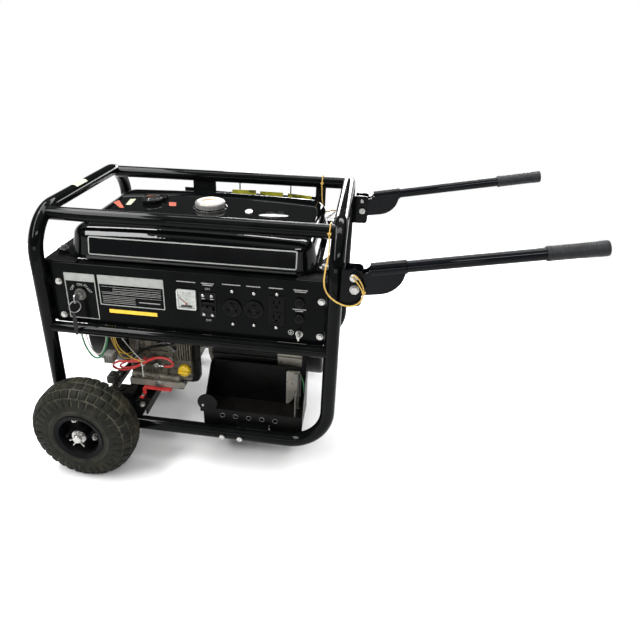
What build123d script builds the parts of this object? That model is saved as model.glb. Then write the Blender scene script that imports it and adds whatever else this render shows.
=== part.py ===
from build123d import *
import math
import os

# Portable generator on an open tube frame with two wheels and folding handles.
# Millimetres. X runs along the frame toward the handles, Y from the control
# panel side (front, negative) to the rear, Z up. The ground is Z = 0.

# ---------------------------------------------------------------- dimensions
XC = -227.565         # frame middle in X, so that the whole box is centred
ZB = 97.0            # height of the lower rails' centreline above the ground

POST_X = 324.0       # posts, half spacing along X
POST_Y = 245.0       # posts, half spacing along Y
TUBE_R = 16.0        # frame tube radius
ARCH_TOP = 510.5     # cross tube of an arch above the lower rail
ARCH_BEND = 95.0     # bend radius at the top of a post
RAIL_BEND = 92.0     # bend radius between lower rail and post
SPLICE = 100.0       # height of the butt joint between lower rail and arch
TOP_RAIL_R = 15.0
TOP_RAIL_Y, TOP_RAIL_Z = 187.0, 501.5
MID_RAIL_R, MID_RAIL_Z = 12.7, 249.0

WHEEL_R = 124.5      # tyre
WHEEL_HALF = 43.0
WHEEL_X, WHEEL_Y, WHEEL_Z = -230.5, 315.0, 27.5
AXLE_R = 10.0
RIM_R = 52.0         # bead seat

LEG_X, LEG_HALF = 90.0, 46.0
LEG_BOLTS = (81.5, 123.8)
BUFFER_R, BUFFER_H = 18.0, 16.0

HANDLE_Y = 252.0
PIVOT_X, PIVOT_Z = 363.0, 415.5
PIN_X, PIN_Z = 360.0, 442.0
HANDLE_R = 12.0
HANDLE_TILT = 10.6   # degrees above the horizontal
HANDLE_X0, HANDLE_Z0 = 392.0, 452.0
SADDLE_R = 14.5
SADDLE_LEN = 67.0
GRIP_R = 14.5
GRIP_START, GRIP_END = 318.0, 423.1   # along the handle tube

PANEL_Y = -235.0
PANEL_T = 2.0
PANEL_HALF = 306.0
PANEL_Z0, PANEL_Z1 = 258.0, 406.0
PANEL_DEPTH = 30.0
PANEL_BOLTS = ((-287.5, 277.0), (-287.5, 360.5), (297.5, 280.3), (297.5, 364.0))

TANK_Y = -30.0       # middle of the tank in Y
TANK_HALF_X, TANK_HALF_Y = 280.0, 176.0
TANK_CORNER, TANK_EDGE = 50.0, 28.0   # corner radius in plan, top edge radius
TANK_SEAM = 413.5
TANK_TOP = 479.0
TANK_CROWN_R = 6000.0
TANK_WALL = 1.5
EAR_X = 297.0
EAR_YS = {-1: -176.0, 1: 116.0}   # tank ears, front and rear
CAP_X, CAP_Y = 2.3, -9.0
GAUGE_X, GAUGE_Y = -150.0, 8.0

CRANK_Y, CRANK_Z = -20.0, 168.0
STATOR_R, STATOR_BORE = 105.0, 69.0
ROTOR_R = 68.0

CORD_R = 2.0
CABLE_R = 2.8
WIRE_R = 2.2

os.makedirs("parts", exist_ok=True)


def at(x, y, z):
    """A point given from the frame's middle, at lower rail height."""
    return (XC + x, y, ZB + z)


def save(piece, name):
    piece.part.label = name
    export_step(piece.part, f"parts/{name}.step")


def block(x0, x1, y0, y1, z0, z1, mode=Mode.ADD):
    with Locations(at((x0 + x1) / 2, (y0 + y1) / 2, (z0 + z1) / 2)):
        Box(abs(x1 - x0), abs(y1 - y0), abs(z1 - z0), mode=mode)


def bar_x(x0, x1, y, z, r, mode=Mode.ADD):
    with Locations(at((x0 + x1) / 2, y, z)):
        Cylinder(r, abs(x1 - x0), rotation=(0, 90, 0), mode=mode)


def bar_y(x, y0, y1, z, r, mode=Mode.ADD):
    with Locations(at(x, (y0 + y1) / 2, z)):
        Cylinder(r, abs(y1 - y0), rotation=(90, 0, 0), mode=mode)


def bar_z(x, y, z0, z1, r, mode=Mode.ADD):
    with Locations(at(x, y, (z0 + z1) / 2)):
        Cylinder(r, abs(z1 - z0), mode=mode)


def bend_radii(points):
    """Arc radius at each inner corner: 0.45 of the shorter run next to it."""
    radii = []
    for a, b, c in zip(points, points[1:], points[2:]):
        u = (Vector(*b) - Vector(*a))
        v = (Vector(*c) - Vector(*b))
        turn = math.radians(u.get_angle(v))
        radii.append(0.45 * min(u.length, v.length) / math.tan(turn / 2))
    return radii


SIDES = (("front", -1), ("rear", 1))

# ---------------------------------------------------------------- frame tubes
# Each end arch is one tube: post, bend, cross tube, bend, post.
with BuildPart() as left_arch:
    with BuildLine(Plane.YZ.offset(XC - POST_X)) as run:
        FilletPolyline(
            (-POST_Y, ZB + SPLICE), (-POST_Y, ZB + ARCH_TOP),
            (POST_Y, ZB + ARCH_TOP), (POST_Y, ZB + SPLICE), radius=ARCH_BEND)
    with BuildSketch(Plane(origin=run.line @ 0, z_dir=run.line % 0)):
        Circle(TUBE_R)
    sweep()
save(left_arch, "left_arch")

with BuildPart() as right_arch:
    with BuildLine(Plane.YZ.offset(XC + POST_X)) as run:
        FilletPolyline(
            (-POST_Y, ZB + SPLICE), (-POST_Y, ZB + ARCH_TOP),
            (POST_Y, ZB + ARCH_TOP), (POST_Y, ZB + SPLICE), radius=ARCH_BEND)
    with BuildSketch(Plane(origin=run.line @ 0, z_dir=run.line % 0)):
        Circle(TUBE_R)
    sweep()
save(right_arch, "right_arch")

# Lower rails turn up at both ends into the posts and carry the leg's bolts.
lower_rails = {}
for side, s in SIDES:
    with BuildPart() as lower_rail:
        with BuildLine(Plane.XZ.offset(-s * POST_Y)) as run:
            FilletPolyline(
                (XC - POST_X, ZB + SPLICE), (XC - POST_X, ZB),
                (XC + POST_X, ZB), (XC + POST_X, ZB + SPLICE), radius=RAIL_BEND)
        with BuildSketch(Plane(origin=run.line @ 0, z_dir=run.line % 0)):
            Circle(TUBE_R)
        sweep()
        for x in LEG_BOLTS:
            bar_y(x, s * 225, s * 265, 0, 4.05, mode=Mode.SUBTRACT)
    lower_rails[side] = lower_rail
    save(lower_rail, f"{side}_lower_rail")

# Top rails are coped onto the bends of the arches.
top_rails = {}
for side, s in SIDES:
    with BuildPart() as top_rail:
        bar_x(-POST_X + 4, POST_X - 4, s * TOP_RAIL_Y, TOP_RAIL_Z, TOP_RAIL_R)
        add(left_arch.part, mode=Mode.SUBTRACT)
        add(right_arch.part, mode=Mode.SUBTRACT)
    top_rails[side] = top_rail
    save(top_rail, f"{side}_top_rail")

with BuildPart() as front_mid_rail:
    bar_x(-POST_X + 6, POST_X - 6, -POST_Y, MID_RAIL_Z, MID_RAIL_R)
    add(left_arch.part, mode=Mode.SUBTRACT)
    add(right_arch.part, mode=Mode.SUBTRACT)
save(front_mid_rail, "front_mid_rail")

# Two channels lie across the lower rails and carry engine and alternator.
with BuildPart() as crossmembers:
    for x in (-161, 150):
        block(x - 38, x + 38, -248, 248, 16, 20)
        for dx in (-36, 36):
            block(x + dx - 2, x + dx + 2, -210, 210, -4, 16)
    fillet(crossmembers.edges().filter_by(Axis.Z).group_by(SortBy.LENGTH)[0], 1.5)
save(crossmembers, "crossmembers")

# Welded plates: corner plates under the tank, tabs behind the panel, axle saddles.
with BuildPart() as frame_brackets:
    for sx in (-1, 1):
        for sy in (-1, 1):
            with BuildSketch(Plane.XY.offset(ZB + 406)):
                with BuildLine():
                    Polyline(
                        (XC + sx * 318, sy * 231), (XC + sx * 243, sy * 231),
                        (XC + sx * 243, sy * 222), (XC + sx * 309, sy * 66),
                        (XC + sx * 318, sy * 66), close=True)
                make_face()
            extrude(amount=3)
            bar_z(sx * EAR_X, EAR_YS[sy], 400, 412, 4.05, mode=Mode.SUBTRACT)
    for x, z in PANEL_BOLTS:
        block(math.copysign(278, x), math.copysign(316, x), -233, -229.5, z - 13, z + 13)
        bar_y(x, -236, -225, z, 3.05, mode=Mode.SUBTRACT)
    for side, s in SIDES:
        block(WHEEL_X - 20, WHEEL_X + 20, s * 233, s * 257, 4, 44)
        bar_y(WHEEL_X, s * 230, s * 260, WHEEL_Z, AXLE_R + 0.02, mode=Mode.SUBTRACT)
    # Hanger strip behind the tank, on tabs under the rear top rail.
    block(-124, 264, 185.5, 188.5, 436, 461)
    block(-124, -36, 185.5, 188.5, 436, 467)
    for x0, x1 in ((-99.5, -36), (29.5, 32.5), (168.5, 171.5), (237.5, 264)):
        block(x0, x1, 185.5, 188.5, 455, 495)
    add(top_rails["rear"].part, mode=Mode.SUBTRACT)
    add(left_arch.part, mode=Mode.SUBTRACT)
    add(right_arch.part, mode=Mode.SUBTRACT)
    for side, s in SIDES:
        add(lower_rails[side].part, mode=Mode.SUBTRACT)
save(frame_brackets, "frame_brackets")

# The support leg is one bent strap bolted to both lower rails.
with BuildPart() as support_leg:
    with BuildSketch(Plane.YZ.offset(XC + LEG_X - LEG_HALF)):
        with BuildLine():
            outer = Polyline(
                (-229, ZB + 13), (-229, ZB - 23), (-122, ZB - 81),
                (122, ZB - 81), (229, ZB - 23), (229, ZB + 13))
            Polyline(outer @ 1, (224, ZB + 13), (224, ZB - 20),
                     (120.7, ZB - 76), (-120.7, ZB - 76), (-224, ZB - 20),
                     (-224, ZB + 13), outer @ 0)
        make_face()
    extrude(amount=2 * LEG_HALF)
    for side, s in SIDES:
        for x in LEG_BOLTS:
            bar_y(x, s * 220, s * 232, 0, 4.05, mode=Mode.SUBTRACT)
save(support_leg, "support_leg")

# Rubber buffers: two under the leg, two under the engine, two under the
# alternator, and the thin grommets under the tank's ears.
with BuildPart() as rubber_mounts:
    for y in (-103, 103):
        bar_z(LEG_X, y, -81 - BUFFER_H, -81, BUFFER_R)
    for y in (-105, 65):
        bar_z(-161, y, 20, 20 + BUFFER_H, BUFFER_R)
        bar_z(150, y * 0.75, 20, 20 + BUFFER_H, BUFFER_R)
    for sx in (-1, 1):
        for sy in (-1, 1):
            bar_z(sx * EAR_X, EAR_YS[sy], 409, 412, 13)
            bar_z(sx * EAR_X, EAR_YS[sy], 408, 413, 4.05, mode=Mode.SUBTRACT)
save(rubber_mounts, "rubber_mounts")

# ---------------------------------------------------------------- running gear
with BuildPart() as axle:
    bar_y(WHEEL_X, -365, 365, WHEEL_Z, AXLE_R)
    chamfer(axle.edges().filter_by(GeomType.CIRCLE), 1.5)
    for s in (-1, 1):
        with Locations(at(WHEEL_X, s * 358.5, WHEEL_Z)):
            Cylinder(2.05, 30, rotation=(0, 70, 0), mode=Mode.SUBTRACT)
save(axle, "axle")

with BuildPart() as axle_retainers:
    for s in (-1, 1):
        bar_y(WHEEL_X, s * 350.4, s * 353.4, WHEEL_Z, 17)
        bar_y(WHEEL_X, s * 257.2, s * 279.4, WHEEL_Z, 14)
        bar_y(WHEEL_X, s * 257, s * 354, WHEEL_Z, AXLE_R + 0.02, mode=Mode.SUBTRACT)
    for s in (-1, 1):
        with Locations(at(WHEEL_X, s * 358.5, WHEEL_Z)):
            Cylinder(2.0, 44, rotation=(0, 70, 0))
save(axle_retainers, "axle_retainers")

for side, s in SIDES:
    hub = at(WHEEL_X, s * WHEEL_Y, WHEEL_Z)
    spin = Axis(hub, (0, 1, 0))
    # Tyre: an open casing whose beads sit on the rim.
    with BuildPart() as tyre:
        with BuildSketch(Plane(hub)):
            with BuildLine():
                FilletPolyline(
                    (RIM_R, 38), (64, WHEEL_HALF), (102, WHEEL_HALF),
                    (WHEEL_R, 27), (WHEEL_R, -27), (102, -WHEEL_HALF),
                    (64, -WHEEL_HALF), (RIM_R, -38),
                    radius=[0.5, 8, 16, 14, 14, 16, 8, 0.5], close=True)
            make_face()
            with BuildLine():
                FilletPolyline(
                    (40, 31), (100, 34), (114, 22),
                    (114, -22), (100, -34), (40, -31),
                    radius=[0.5, 10, 8, 8, 10, 0.5], close=True)
            make_face(mode=Mode.SUBTRACT)
        revolve(axis=spin)
    save(tyre, f"{side}_tyre")

    # Rim: two pressed dishes back to back on a tubular hub, four bolts.
    with BuildPart() as rim:
        with BuildSketch(Plane(hub)):
            with BuildLine():
                Polyline(
                    (16, 2), (49, 2), (49, 30.9), (RIM_R - 0.05, 30.9), (RIM_R - 0.05, 38.2),
                    (59, 41.5), (59, 43.6), (48.5, 40), (46.2, 33), (46.2, 5),
                    (16, 5), close=True)
            make_face()
            mirror(about=Plane.XZ)
            with BuildLine():
                Polyline((AXLE_R + 0.06, -35), (17, -35), (17, 35), (AXLE_R + 0.06, 35), close=True)
            make_face()
        revolve(axis=spin)
        with Locations(Plane(hub, z_dir=(0, 1, 0))):
            with PolarLocations(32, 4, start_angle=45):
                Cylinder(4, 10)
                with Locations((0, 0, 8), (0, 0, -8)):
                    Cylinder(6, 6)
    save(rim, f"{side}_rim")

# ---------------------------------------------------------------- lifting handles
# Fixed channel brackets on the right posts, open toward the arms.
with BuildPart() as handle_brackets:
    for s in (-1, 1):
        y = s * HANDLE_Y
        block(336, 378, y - 18.5, y + 18.5, 379, 455.5)
        block(343, 384, y - 15.5, y + 15.5, 370, 470, mode=Mode.SUBTRACT)
    fillet(handle_brackets.edges().filter_by(Axis.Y).group_by(Axis.X)[-1], 9)
    for s in (-1, 1):
        bar_y(PIVOT_X, s * 230, s * 275, PIVOT_Z, 5.02, mode=Mode.SUBTRACT)
        bar_y(PIN_X, s * 230, s * 275, PIN_Z, 5.1, mode=Mode.SUBTRACT)
    add(right_arch.part, mode=Mode.SUBTRACT)
save(handle_brackets, "handle_brackets")

# Outline of an arm's cheek plate, and the curved slot that lets it leave the pin.
CHEEK = (
    (346.5, 405.5), (346, 451), (350, 455), (360, 455), (366, 452.5), (371, 448.8),
    (376, 447), (381, 447.6), (386, 450.5), (390, 455), (394.4, 457), (457, 462), (457.8, 452), (455, 441), (450.5, 431), (444, 422.5),
    (436, 415.5), (427, 410), (416, 406.5), (381.6, 401), (364, 397),
    (353, 399.2))
PIN_ARC = math.hypot(PIN_X - PIVOT_X, PIN_Z - PIVOT_Z)
pin_angle = math.degrees(math.atan2(PIN_Z - PIVOT_Z, PIN_X - PIVOT_X))
hook = []
for reach, steps in ((PIN_ARC + 5.45, range(0, 61, 5)), (PIN_ARC - 5.45, range(60, -1, -5))):
    for step in steps:
        turn = math.radians(pin_angle + step)
        hook.append((PIVOT_X + reach * math.cos(turn), PIVOT_Z + reach * math.sin(turn)))

tilt = math.radians(HANDLE_TILT)
tube_dir = (math.cos(tilt), 0, math.sin(tilt))
for side, s in SIDES:
    y = s * HANDLE_Y
    start = Plane(at(HANDLE_X0, y, HANDLE_Z0), x_dir=(0, 1, 0), z_dir=tube_dir)
    # Folding arm: tube in a saddle sleeve with two cheeks around the pivot.
    # The cheeks hook onto the lock pin and swing away from it.
    with BuildPart() as handle_arm:
        for side_y in (-1, 1):
            with BuildSketch(Plane.XZ.offset(-(y + side_y * (SADDLE_R - 2.5 if side_y < 0 else SADDLE_R)))):
                with BuildLine():
                    Polyline(*[(XC + x, ZB + z) for x, z in CHEEK], close=True)
                make_face()
                with BuildLine():
                    Polyline(*[(XC + x, ZB + z) for x, z in hook], close=True)
                make_face(mode=Mode.SUBTRACT)
                with Locations((XC + PIN_X, ZB + PIN_Z)):
                    Circle(5.45, mode=Mode.SUBTRACT)
                with Locations((XC + PIVOT_X, ZB + PIVOT_Z)):
                    Circle(5.1, mode=Mode.SUBTRACT)
            extrude(amount=2.5 if side_y > 0 else -2.5)
        with BuildSketch(start):
            Circle(SADDLE_R)
        extrude(amount=SADDLE_LEN)
        with BuildSketch(start):
            Circle(HANDLE_R)
        extrude(amount=GRIP_END - 8)
    save(handle_arm, f"{side}_handle_arm")

    # Ribbed rubber grip, closed at its end.
    with BuildPart() as grip:
        with BuildSketch(start.offset(GRIP_START)):
            Circle(GRIP_R)
        extrude(amount=GRIP_END - GRIP_START)
        fillet(grip.edges().filter_by(GeomType.CIRCLE), 2.5)
        with BuildSketch(start.offset(GRIP_START)):
            Circle(HANDLE_R + 0.02)
        extrude(amount=GRIP_END - GRIP_START - 8, mode=Mode.SUBTRACT)
    save(grip, f"{side}_handle_grip")

    # Lock pin with a flat head, pulled out sideways.
    with BuildPart() as lock_pin:
        bar_y(PIN_X, s * (HANDLE_Y - 24), s * (HANDLE_Y + 19), PIN_Z, 5.0)
        bar_y(PIN_X, s * (HANDLE_Y + 18.9), s * (HANDLE_Y + 24), PIN_Z, 7.5)
        chamfer(lock_pin.edges().filter_by(GeomType.CIRCLE).sort_by(Axis.Y)[0 if s > 0 else -1], 1.5)
    save(lock_pin, f"{side}_lock_pin")

# Bolts of the frame: handle pivots, tank ears, support leg, tray hold-down rods.
with BuildPart() as frame_bolts:
    for s in (-1, 1):
        bar_y(PIVOT_X, s * (HANDLE_Y - 18.5), s * (HANDLE_Y + 18.5), PIVOT_Z, 5.0)
        bar_y(PIVOT_X, s * (HANDLE_Y + 18.5), s * (HANDLE_Y + 20.5), PIVOT_Z, 9.5)
        bar_y(PIVOT_X, s * (HANDLE_Y - 26), s * (HANDLE_Y - 18.5), PIVOT_Z, 8)
        with BuildSketch(Plane.XZ.offset(-s * (HANDLE_Y + 20.5))):
            with Locations((XC + PIVOT_X, ZB + PIVOT_Z)):
                RegularPolygon(8, 6)
        extrude(amount=-s * 6)
        for x in LEG_BOLTS:
            bar_y(x, s * 214, s * 261.2, 0, 4.0)
            bar_y(x, s * 215, s * 224, 0, 7.5)
            with BuildSketch(Plane.XZ.offset(-s * 261.2)):
                with Locations((XC + x, ZB)):
                    RegularPolygon(7, 6)
            extrude(amount=-s * 6)
    for sx in (-1, 1):
        for sy in (-1, 1):
            bar_z(sx * EAR_X, EAR_YS[sy], 397, 415, 4.0)
            bar_z(sx * EAR_X, EAR_YS[sy], 399, 406, 7)
            bar_z(sx * EAR_X, EAR_YS[sy], 415, 416.5, 11)
            with BuildSketch(Plane.XY.offset(ZB + 416.5)):
                with Locations((XC + sx * EAR_X, EAR_YS[sy])):
                    RegularPolygon(7.5, 6)
            extrude(amount=5.5)
    for y in (-215, -150):
        bar_z(247, y, 14, 116, 2.5)
        bar_z(247, y, 14, 20.4, 5)
save(frame_bolts, "frame_bolts")

# ---------------------------------------------------------------- control panel
KEY = (-239.0, 333.0)
METER = (6.5, 343.0)
BREAKER = (53.5, 334.0)
TWIST = ((107.6, 332.5), (154.6, 333.5))
DUPLEX = (203.3, 334.5)
RESETS = ((252.0, 358.5), (252.6, 320.5))
EARTH = (253.0, 282.5)
SCREWS = (
    (107.5, 371.4), (107.8, 292.5), (154.6, 370.5), (154.6, 294.0),
    (203.6, 373.6), (202.8, 293.4), (44, 357), (63, 357), (44.5, 311), (63.5, 311))

with BuildPart() as control_panel:
    block(-PANEL_HALF, PANEL_HALF, PANEL_Y, PANEL_Y + PANEL_T, PANEL_Z0, PANEL_Z1)
    block(-PANEL_HALF, PANEL_HALF, PANEL_Y, PANEL_Y + PANEL_DEPTH, PANEL_Z1 - PANEL_T, PANEL_Z1)
    block(-PANEL_HALF, PANEL_HALF, PANEL_Y, PANEL_Y + PANEL_DEPTH, PANEL_Z0, PANEL_Z0 + PANEL_T)
    fillet(control_panel.edges().filter_by(Axis.X).group_by(Axis.Y)[0], 1.5)
    bar_y(KEY[0], -245, -225, KEY[1], 11.05, mode=Mode.SUBTRACT)
    bar_y(METER[0], -245, -225, METER[1], 18.05, mode=Mode.SUBTRACT)
    block(BREAKER[0] - 18.05, BREAKER[0] + 18.05, -245, -225,
          BREAKER[1] - 30.05, BREAKER[1] + 30.05, mode=Mode.SUBTRACT)
    for x, z in TWIST:
        bar_y(x, -245, -225, z, 17.05, mode=Mode.SUBTRACT)
    block(DUPLEX[0] - 15.05, DUPLEX[0] + 15.05, -245, -225,
          DUPLEX[1] - 33.05, DUPLEX[1] + 33.05, mode=Mode.SUBTRACT)
    for x, z in RESETS:
        bar_y(x, -245, -225, z, 8.05, mode=Mode.SUBTRACT)
    bar_y(EARTH[0], -245, -225, EARTH[1], 3.02, mode=Mode.SUBTRACT)
    for x, z in SCREWS:
        bar_y(x, -245, -225, z, 1.52, mode=Mode.SUBTRACT)
    for x, z in PANEL_BOLTS:
        bar_y(x, -245, -231, z, 3.02, mode=Mode.SUBTRACT)
    # Side lips behind the posts close the gap between panel and post.
    for sx in (-1, 1):
        block(sx * 303, sx * 322, -228.5, -226.5, PANEL_Z0, PANEL_Z1)
save(control_panel, "control_panel")

with BuildPart() as panel_screws:
    for x, z in PANEL_BOLTS:
        bar_y(x, -236, -229.5, z, 3.0)
        bar_y(x, -236.3, -235, z, 7.5)
        with BuildSketch(Plane.XZ.offset(236.3)):
            with Locations((XC + x, ZB + z)):
                RegularPolygon(5.6, 6)
        extrude(amount=4.2)
    for x, z in SCREWS:
        deep = -237.2 if abs(x - BREAKER[0]) < 15 else -235
        bar_y(x, deep, -229, z, 1.5) if deep == -235 else bar_y(x, -238, -237.2, z, 1.5)
        with Locations(at(x, deep - 1.1, z)):
            Cylinder(3.4, 2.2, rotation=(90, 0, 0))
save(panel_screws, "panel_screws")

with BuildPart() as key_switch:
    bar_y(KEY[0], -240, -235, KEY[1], 14)
    bar_y(KEY[0], -235, -208, KEY[1], 11)
    fillet(key_switch.edges().filter_by(GeomType.CIRCLE).sort_by(Axis.Y)[0], 2)
    bar_y(KEY[0], -241, -230, KEY[1], 6.1, mode=Mode.SUBTRACT)
save(key_switch, "key_switch")

with BuildPart() as ignition_key:
    bar_y(KEY[0], -242, -231, KEY[1], 6.0)
    block(KEY[0] - 1.2, KEY[0] + 1.2, -250, -241.9, KEY[1] - 4, KEY[1] + 4)
    with BuildSketch(Plane.YZ.offset(XC + KEY[0] - 1.5)):
        with Locations((-258, ZB + KEY[1])):
            RectangleRounded(18, 22, 6)
        with Locations((-263, ZB + KEY[1] - 5)):
            Circle(2.2, mode=Mode.SUBTRACT)
    extrude(amount=3)
save(ignition_key, "ignition_key")

with BuildPart() as voltmeter:
    block(METER[0] - 21.5, METER[0] + 21.5, -241, -235, METER[1] - 23, METER[1] + 23)
    fillet(voltmeter.edges().filter_by(Axis.Y), 2.5)
    block(METER[0] - 18.5, METER[0] + 18.5, -242, -237.5, METER[1] - 20, METER[1] + 20, mode=Mode.SUBTRACT)
    bar_y(METER[0], -235, -212, METER[1], 18)
save(voltmeter, "voltmeter")

# The needle rests at the left end of the scale, pivoted low on the dial.
with BuildPart() as voltmeter_needle:
    with BuildSketch(Plane.XZ.offset(238.6)):
        with Locations((XC + METER[0], ZB + METER[1] - 10)):
            Circle(2.6)
        with Locations(Location((XC + METER[0], ZB + METER[1] - 10, 0), (0, 0, 45))):
            with Locations((0, 10.5)):
                Rectangle(1.2, 21)
    extrude(amount=0.8)
save(voltmeter_needle, "voltmeter_needle")

# Breaker bodies: the two-pole main breaker and the two round reset breakers.
with BuildPart() as circuit_breakers:
    block(BREAKER[0] - 18, BREAKER[0] + 18, -237.2, -214, BREAKER[1] - 30, BREAKER[1] + 30)
    block(BREAKER[0] - 14.5, BREAKER[0] + 14.5, -238, -224, BREAKER[1] - 13, BREAKER[1] + 13, mode=Mode.SUBTRACT)
    for x, z in RESETS:
        bar_y(x, -235, -212, z, 8)
        bar_y(x, -238, -235, z, 10)
        bar_y(x, -239, -222, z, 5.4, mode=Mode.SUBTRACT)
save(circuit_breakers, "circuit_breakers")

with BuildPart() as breaker_toggle:
    bar_x(BREAKER[0] - 13.6, BREAKER[0] + 13.6, -231, BREAKER[1], 5.5)
    with Locations(Location(at(BREAKER[0], -231, BREAKER[1]), (22, 0, 0))):
        with Locations((-7, -9, 0), (7, -9, 0)):
            Box(9, 18, 6)
        with Locations((0, -15, 0)):
            Box(24, 4, 4)
save(breaker_toggle, "breaker_toggle")

for (x, z), name in zip(RESETS, ("upper_reset_button", "lower_reset_button")):
    with BuildPart() as button:
        bar_y(x, -243, -226, z, 5.0)
        fillet(button.edges().filter_by(GeomType.CIRCLE).sort_by(Axis.Y)[0], 1.5)
    save(button, name)

# Sockets: two round twist-lock sockets and one duplex socket.
with BuildPart() as outlet_sockets:
    for x, z in TWIST:
        bar_y(x, -238, -235, z, 19.5)
        bar_y(x, -235, -207, z, 17)
        with Locations(Plane(at(x, -238, z), x_dir=(1, 0, 0), z_dir=(0, -1, 0))):
            with PolarLocations(10.5, 3, start_angle=90):
                Box(2.6, 9, 12, mode=Mode.SUBTRACT)
    block(DUPLEX[0] - 17, DUPLEX[0] + 17, -237, -235, DUPLEX[1] - 35, DUPLEX[1] + 35)
    block(DUPLEX[0] - 15, DUPLEX[0] + 15, -235, -207, DUPLEX[1] - 33, DUPLEX[1] + 33)
    for dz in (-17, 17):
        for dx in (-6, 6):
            block(DUPLEX[0] + dx - 1.2, DUPLEX[0] + dx + 1.2, -238, -230,
                  DUPLEX[1] + dz - 1, DUPLEX[1] + dz + 7, mode=Mode.SUBTRACT)
        bar_y(DUPLEX[0], -238, -230, DUPLEX[1] + dz - 7, 2.6, mode=Mode.SUBTRACT)
    for x, z in SCREWS:
        if x > 90:
            bar_y(x, -239, -222, z, 1.52, mode=Mode.SUBTRACT)
save(outlet_sockets, "outlet_sockets")

with BuildPart() as earth_terminal:
    bar_y(EARTH[0], -254, -226, EARTH[1], 3.0)
    bar_y(EARTH[0], -236.5, -235, EARTH[1], 8)
    with BuildSketch(Plane.XZ.offset(236.5)):
        with Locations((XC + EARTH[0], ZB + EARTH[1])):
            RegularPolygon(6, 6)
    extrude(amount=5)
    bar_y(EARTH[0], -249, -243, EARTH[1], 4.6)
    with Locations(at(EARTH[0], -248, EARTH[1])):
        Box(3, 6, 17)
save(earth_terminal, "earth_terminal")

# ---------------------------------------------------------------- fuel tank
# Upper shell: drawn pan with a crowned top, seam flange and four ears.
tank_skins = []
for inset in (0, TANK_WALL):
    with BuildPart() as tank_skin:
        with BuildSketch(Plane.XY.offset(ZB + TANK_SEAM)):
            with Locations((XC, TANK_Y)):
                RectangleRounded(2 * (TANK_HALF_X - inset), 2 * (TANK_HALF_Y - inset), TANK_CORNER - inset)
        extrude(amount=TANK_TOP - TANK_SEAM + 6, taper=11)
        with BuildSketch(Plane.XZ.offset(300)):
            with Locations((XC, ZB + TANK_TOP - TANK_CROWN_R)):
                Circle(TANK_CROWN_R - inset)
        extrude(amount=-600, mode=Mode.INTERSECT)
        fillet(tank_skin.faces().sort_by(Axis.Z)[-1].edges(), TANK_EDGE - inset)
    tank_skins.append(tank_skin)

with BuildPart() as tank_upper_shell:
    add(tank_skins[0].part)
    add(tank_skins[1].part, mode=Mode.SUBTRACT)
    with BuildSketch(Plane.XY.offset(ZB + TANK_SEAM)):
        with Locations((XC, TANK_Y)):
            RectangleRounded(2 * TANK_HALF_X + 16, 2 * TANK_HALF_Y + 22, TANK_CORNER + 8)
        for sx in (-1, 1):
            for sy in (-1, 1):
                with Locations((XC + sx * (EAR_X - 17), EAR_YS[sy])):
                    SlotCenterToCenter(34, 30)
        with Locations((XC, TANK_Y)):
            RectangleRounded(2 * TANK_HALF_X - 3, 2 * TANK_HALF_Y - 3, TANK_CORNER - 1.5, mode=Mode.SUBTRACT)
    extrude(amount=1.5)
    for sx in (-1, 1):
        for sy in (-1, 1):
            bar_z(sx * EAR_X, EAR_YS[sy], 408, 420, 4.05, mode=Mode.SUBTRACT)
    # Filler neck through the top.
    bar_z(CAP_X, CAP_Y, 440, 510, 27, mode=Mode.SUBTRACT)
    bar_z(CAP_X, CAP_Y, 458, 484, 27)
    bar_z(CAP_X, CAP_Y, 448, 490, 25, mode=Mode.SUBTRACT)
    bar_z(GAUGE_X, GAUGE_Y, 455, 510, 17.05, mode=Mode.SUBTRACT)
save(tank_upper_shell, "tank_upper_shell")

# Lower shell: a shallower pan below the seam.
pan_skins = []
for inset in (0, TANK_WALL):
    with BuildPart() as pan_skin:
        with BuildSketch(Plane.XY.offset(ZB + TANK_SEAM - 1.5)):
            with Locations((XC, TANK_Y)):
                RectangleRounded(2 * (TANK_HALF_X - 18 - inset), 2 * (TANK_HALF_Y - 15 - inset), 45 - inset)
        extrude(amount=-58 + inset, taper=12)
        fillet(pan_skin.faces().sort_by(Axis.Z)[0].edges(), 14 - inset)
    pan_skins.append(pan_skin)

with BuildPart() as tank_lower_shell:
    add(pan_skins[0].part)
    add(pan_skins[1].part, mode=Mode.SUBTRACT)
    with BuildSketch(Plane.XY.offset(ZB + TANK_SEAM - 1.5)):
        with Locations((XC, TANK_Y)):
            RectangleRounded(2 * TANK_HALF_X + 16, 2 * TANK_HALF_Y + 22, TANK_CORNER + 8)
        for sx in (-1, 1):
            for sy in (-1, 1):
                with Locations((XC + sx * (EAR_X - 17), EAR_YS[sy])):
                    SlotCenterToCenter(34, 30)
        with Locations((XC, TANK_Y)):
            RectangleRounded(2 * TANK_HALF_X - 39, 2 * TANK_HALF_Y - 33, 43.5, mode=Mode.SUBTRACT)
    extrude(amount=1.5)
    for sx in (-1, 1):
        for sy in (-1, 1):
            bar_z(sx * EAR_X, EAR_YS[sy], 408, 420, 4.05, mode=Mode.SUBTRACT)
save(tank_lower_shell, "tank_lower_shell")

# Fuel cap: round cover with a domed top over the filler neck.
with BuildPart() as fuel_cap:
    bar_z(CAP_X, CAP_Y, 480.5, 499, 37)
    fillet(fuel_cap.edges().filter_by(GeomType.CIRCLE).sort_by(Axis.Z)[-1], 6)
    bar_z(CAP_X, CAP_Y, 478, 488, 28, mode=Mode.SUBTRACT)
save(fuel_cap, "fuel_cap")

with BuildPart() as fuel_gauge:
    bar_z(GAUGE_X, GAUGE_Y, 466.4, 485.4, 17)
    bar_z(GAUGE_X, GAUGE_Y, 480, 489.4, 25)
    fillet(fuel_gauge.edges().filter_by(GeomType.CIRCLE).sort_by(Axis.Z)[-1], 6)
save(fuel_gauge, "fuel_gauge")

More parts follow.
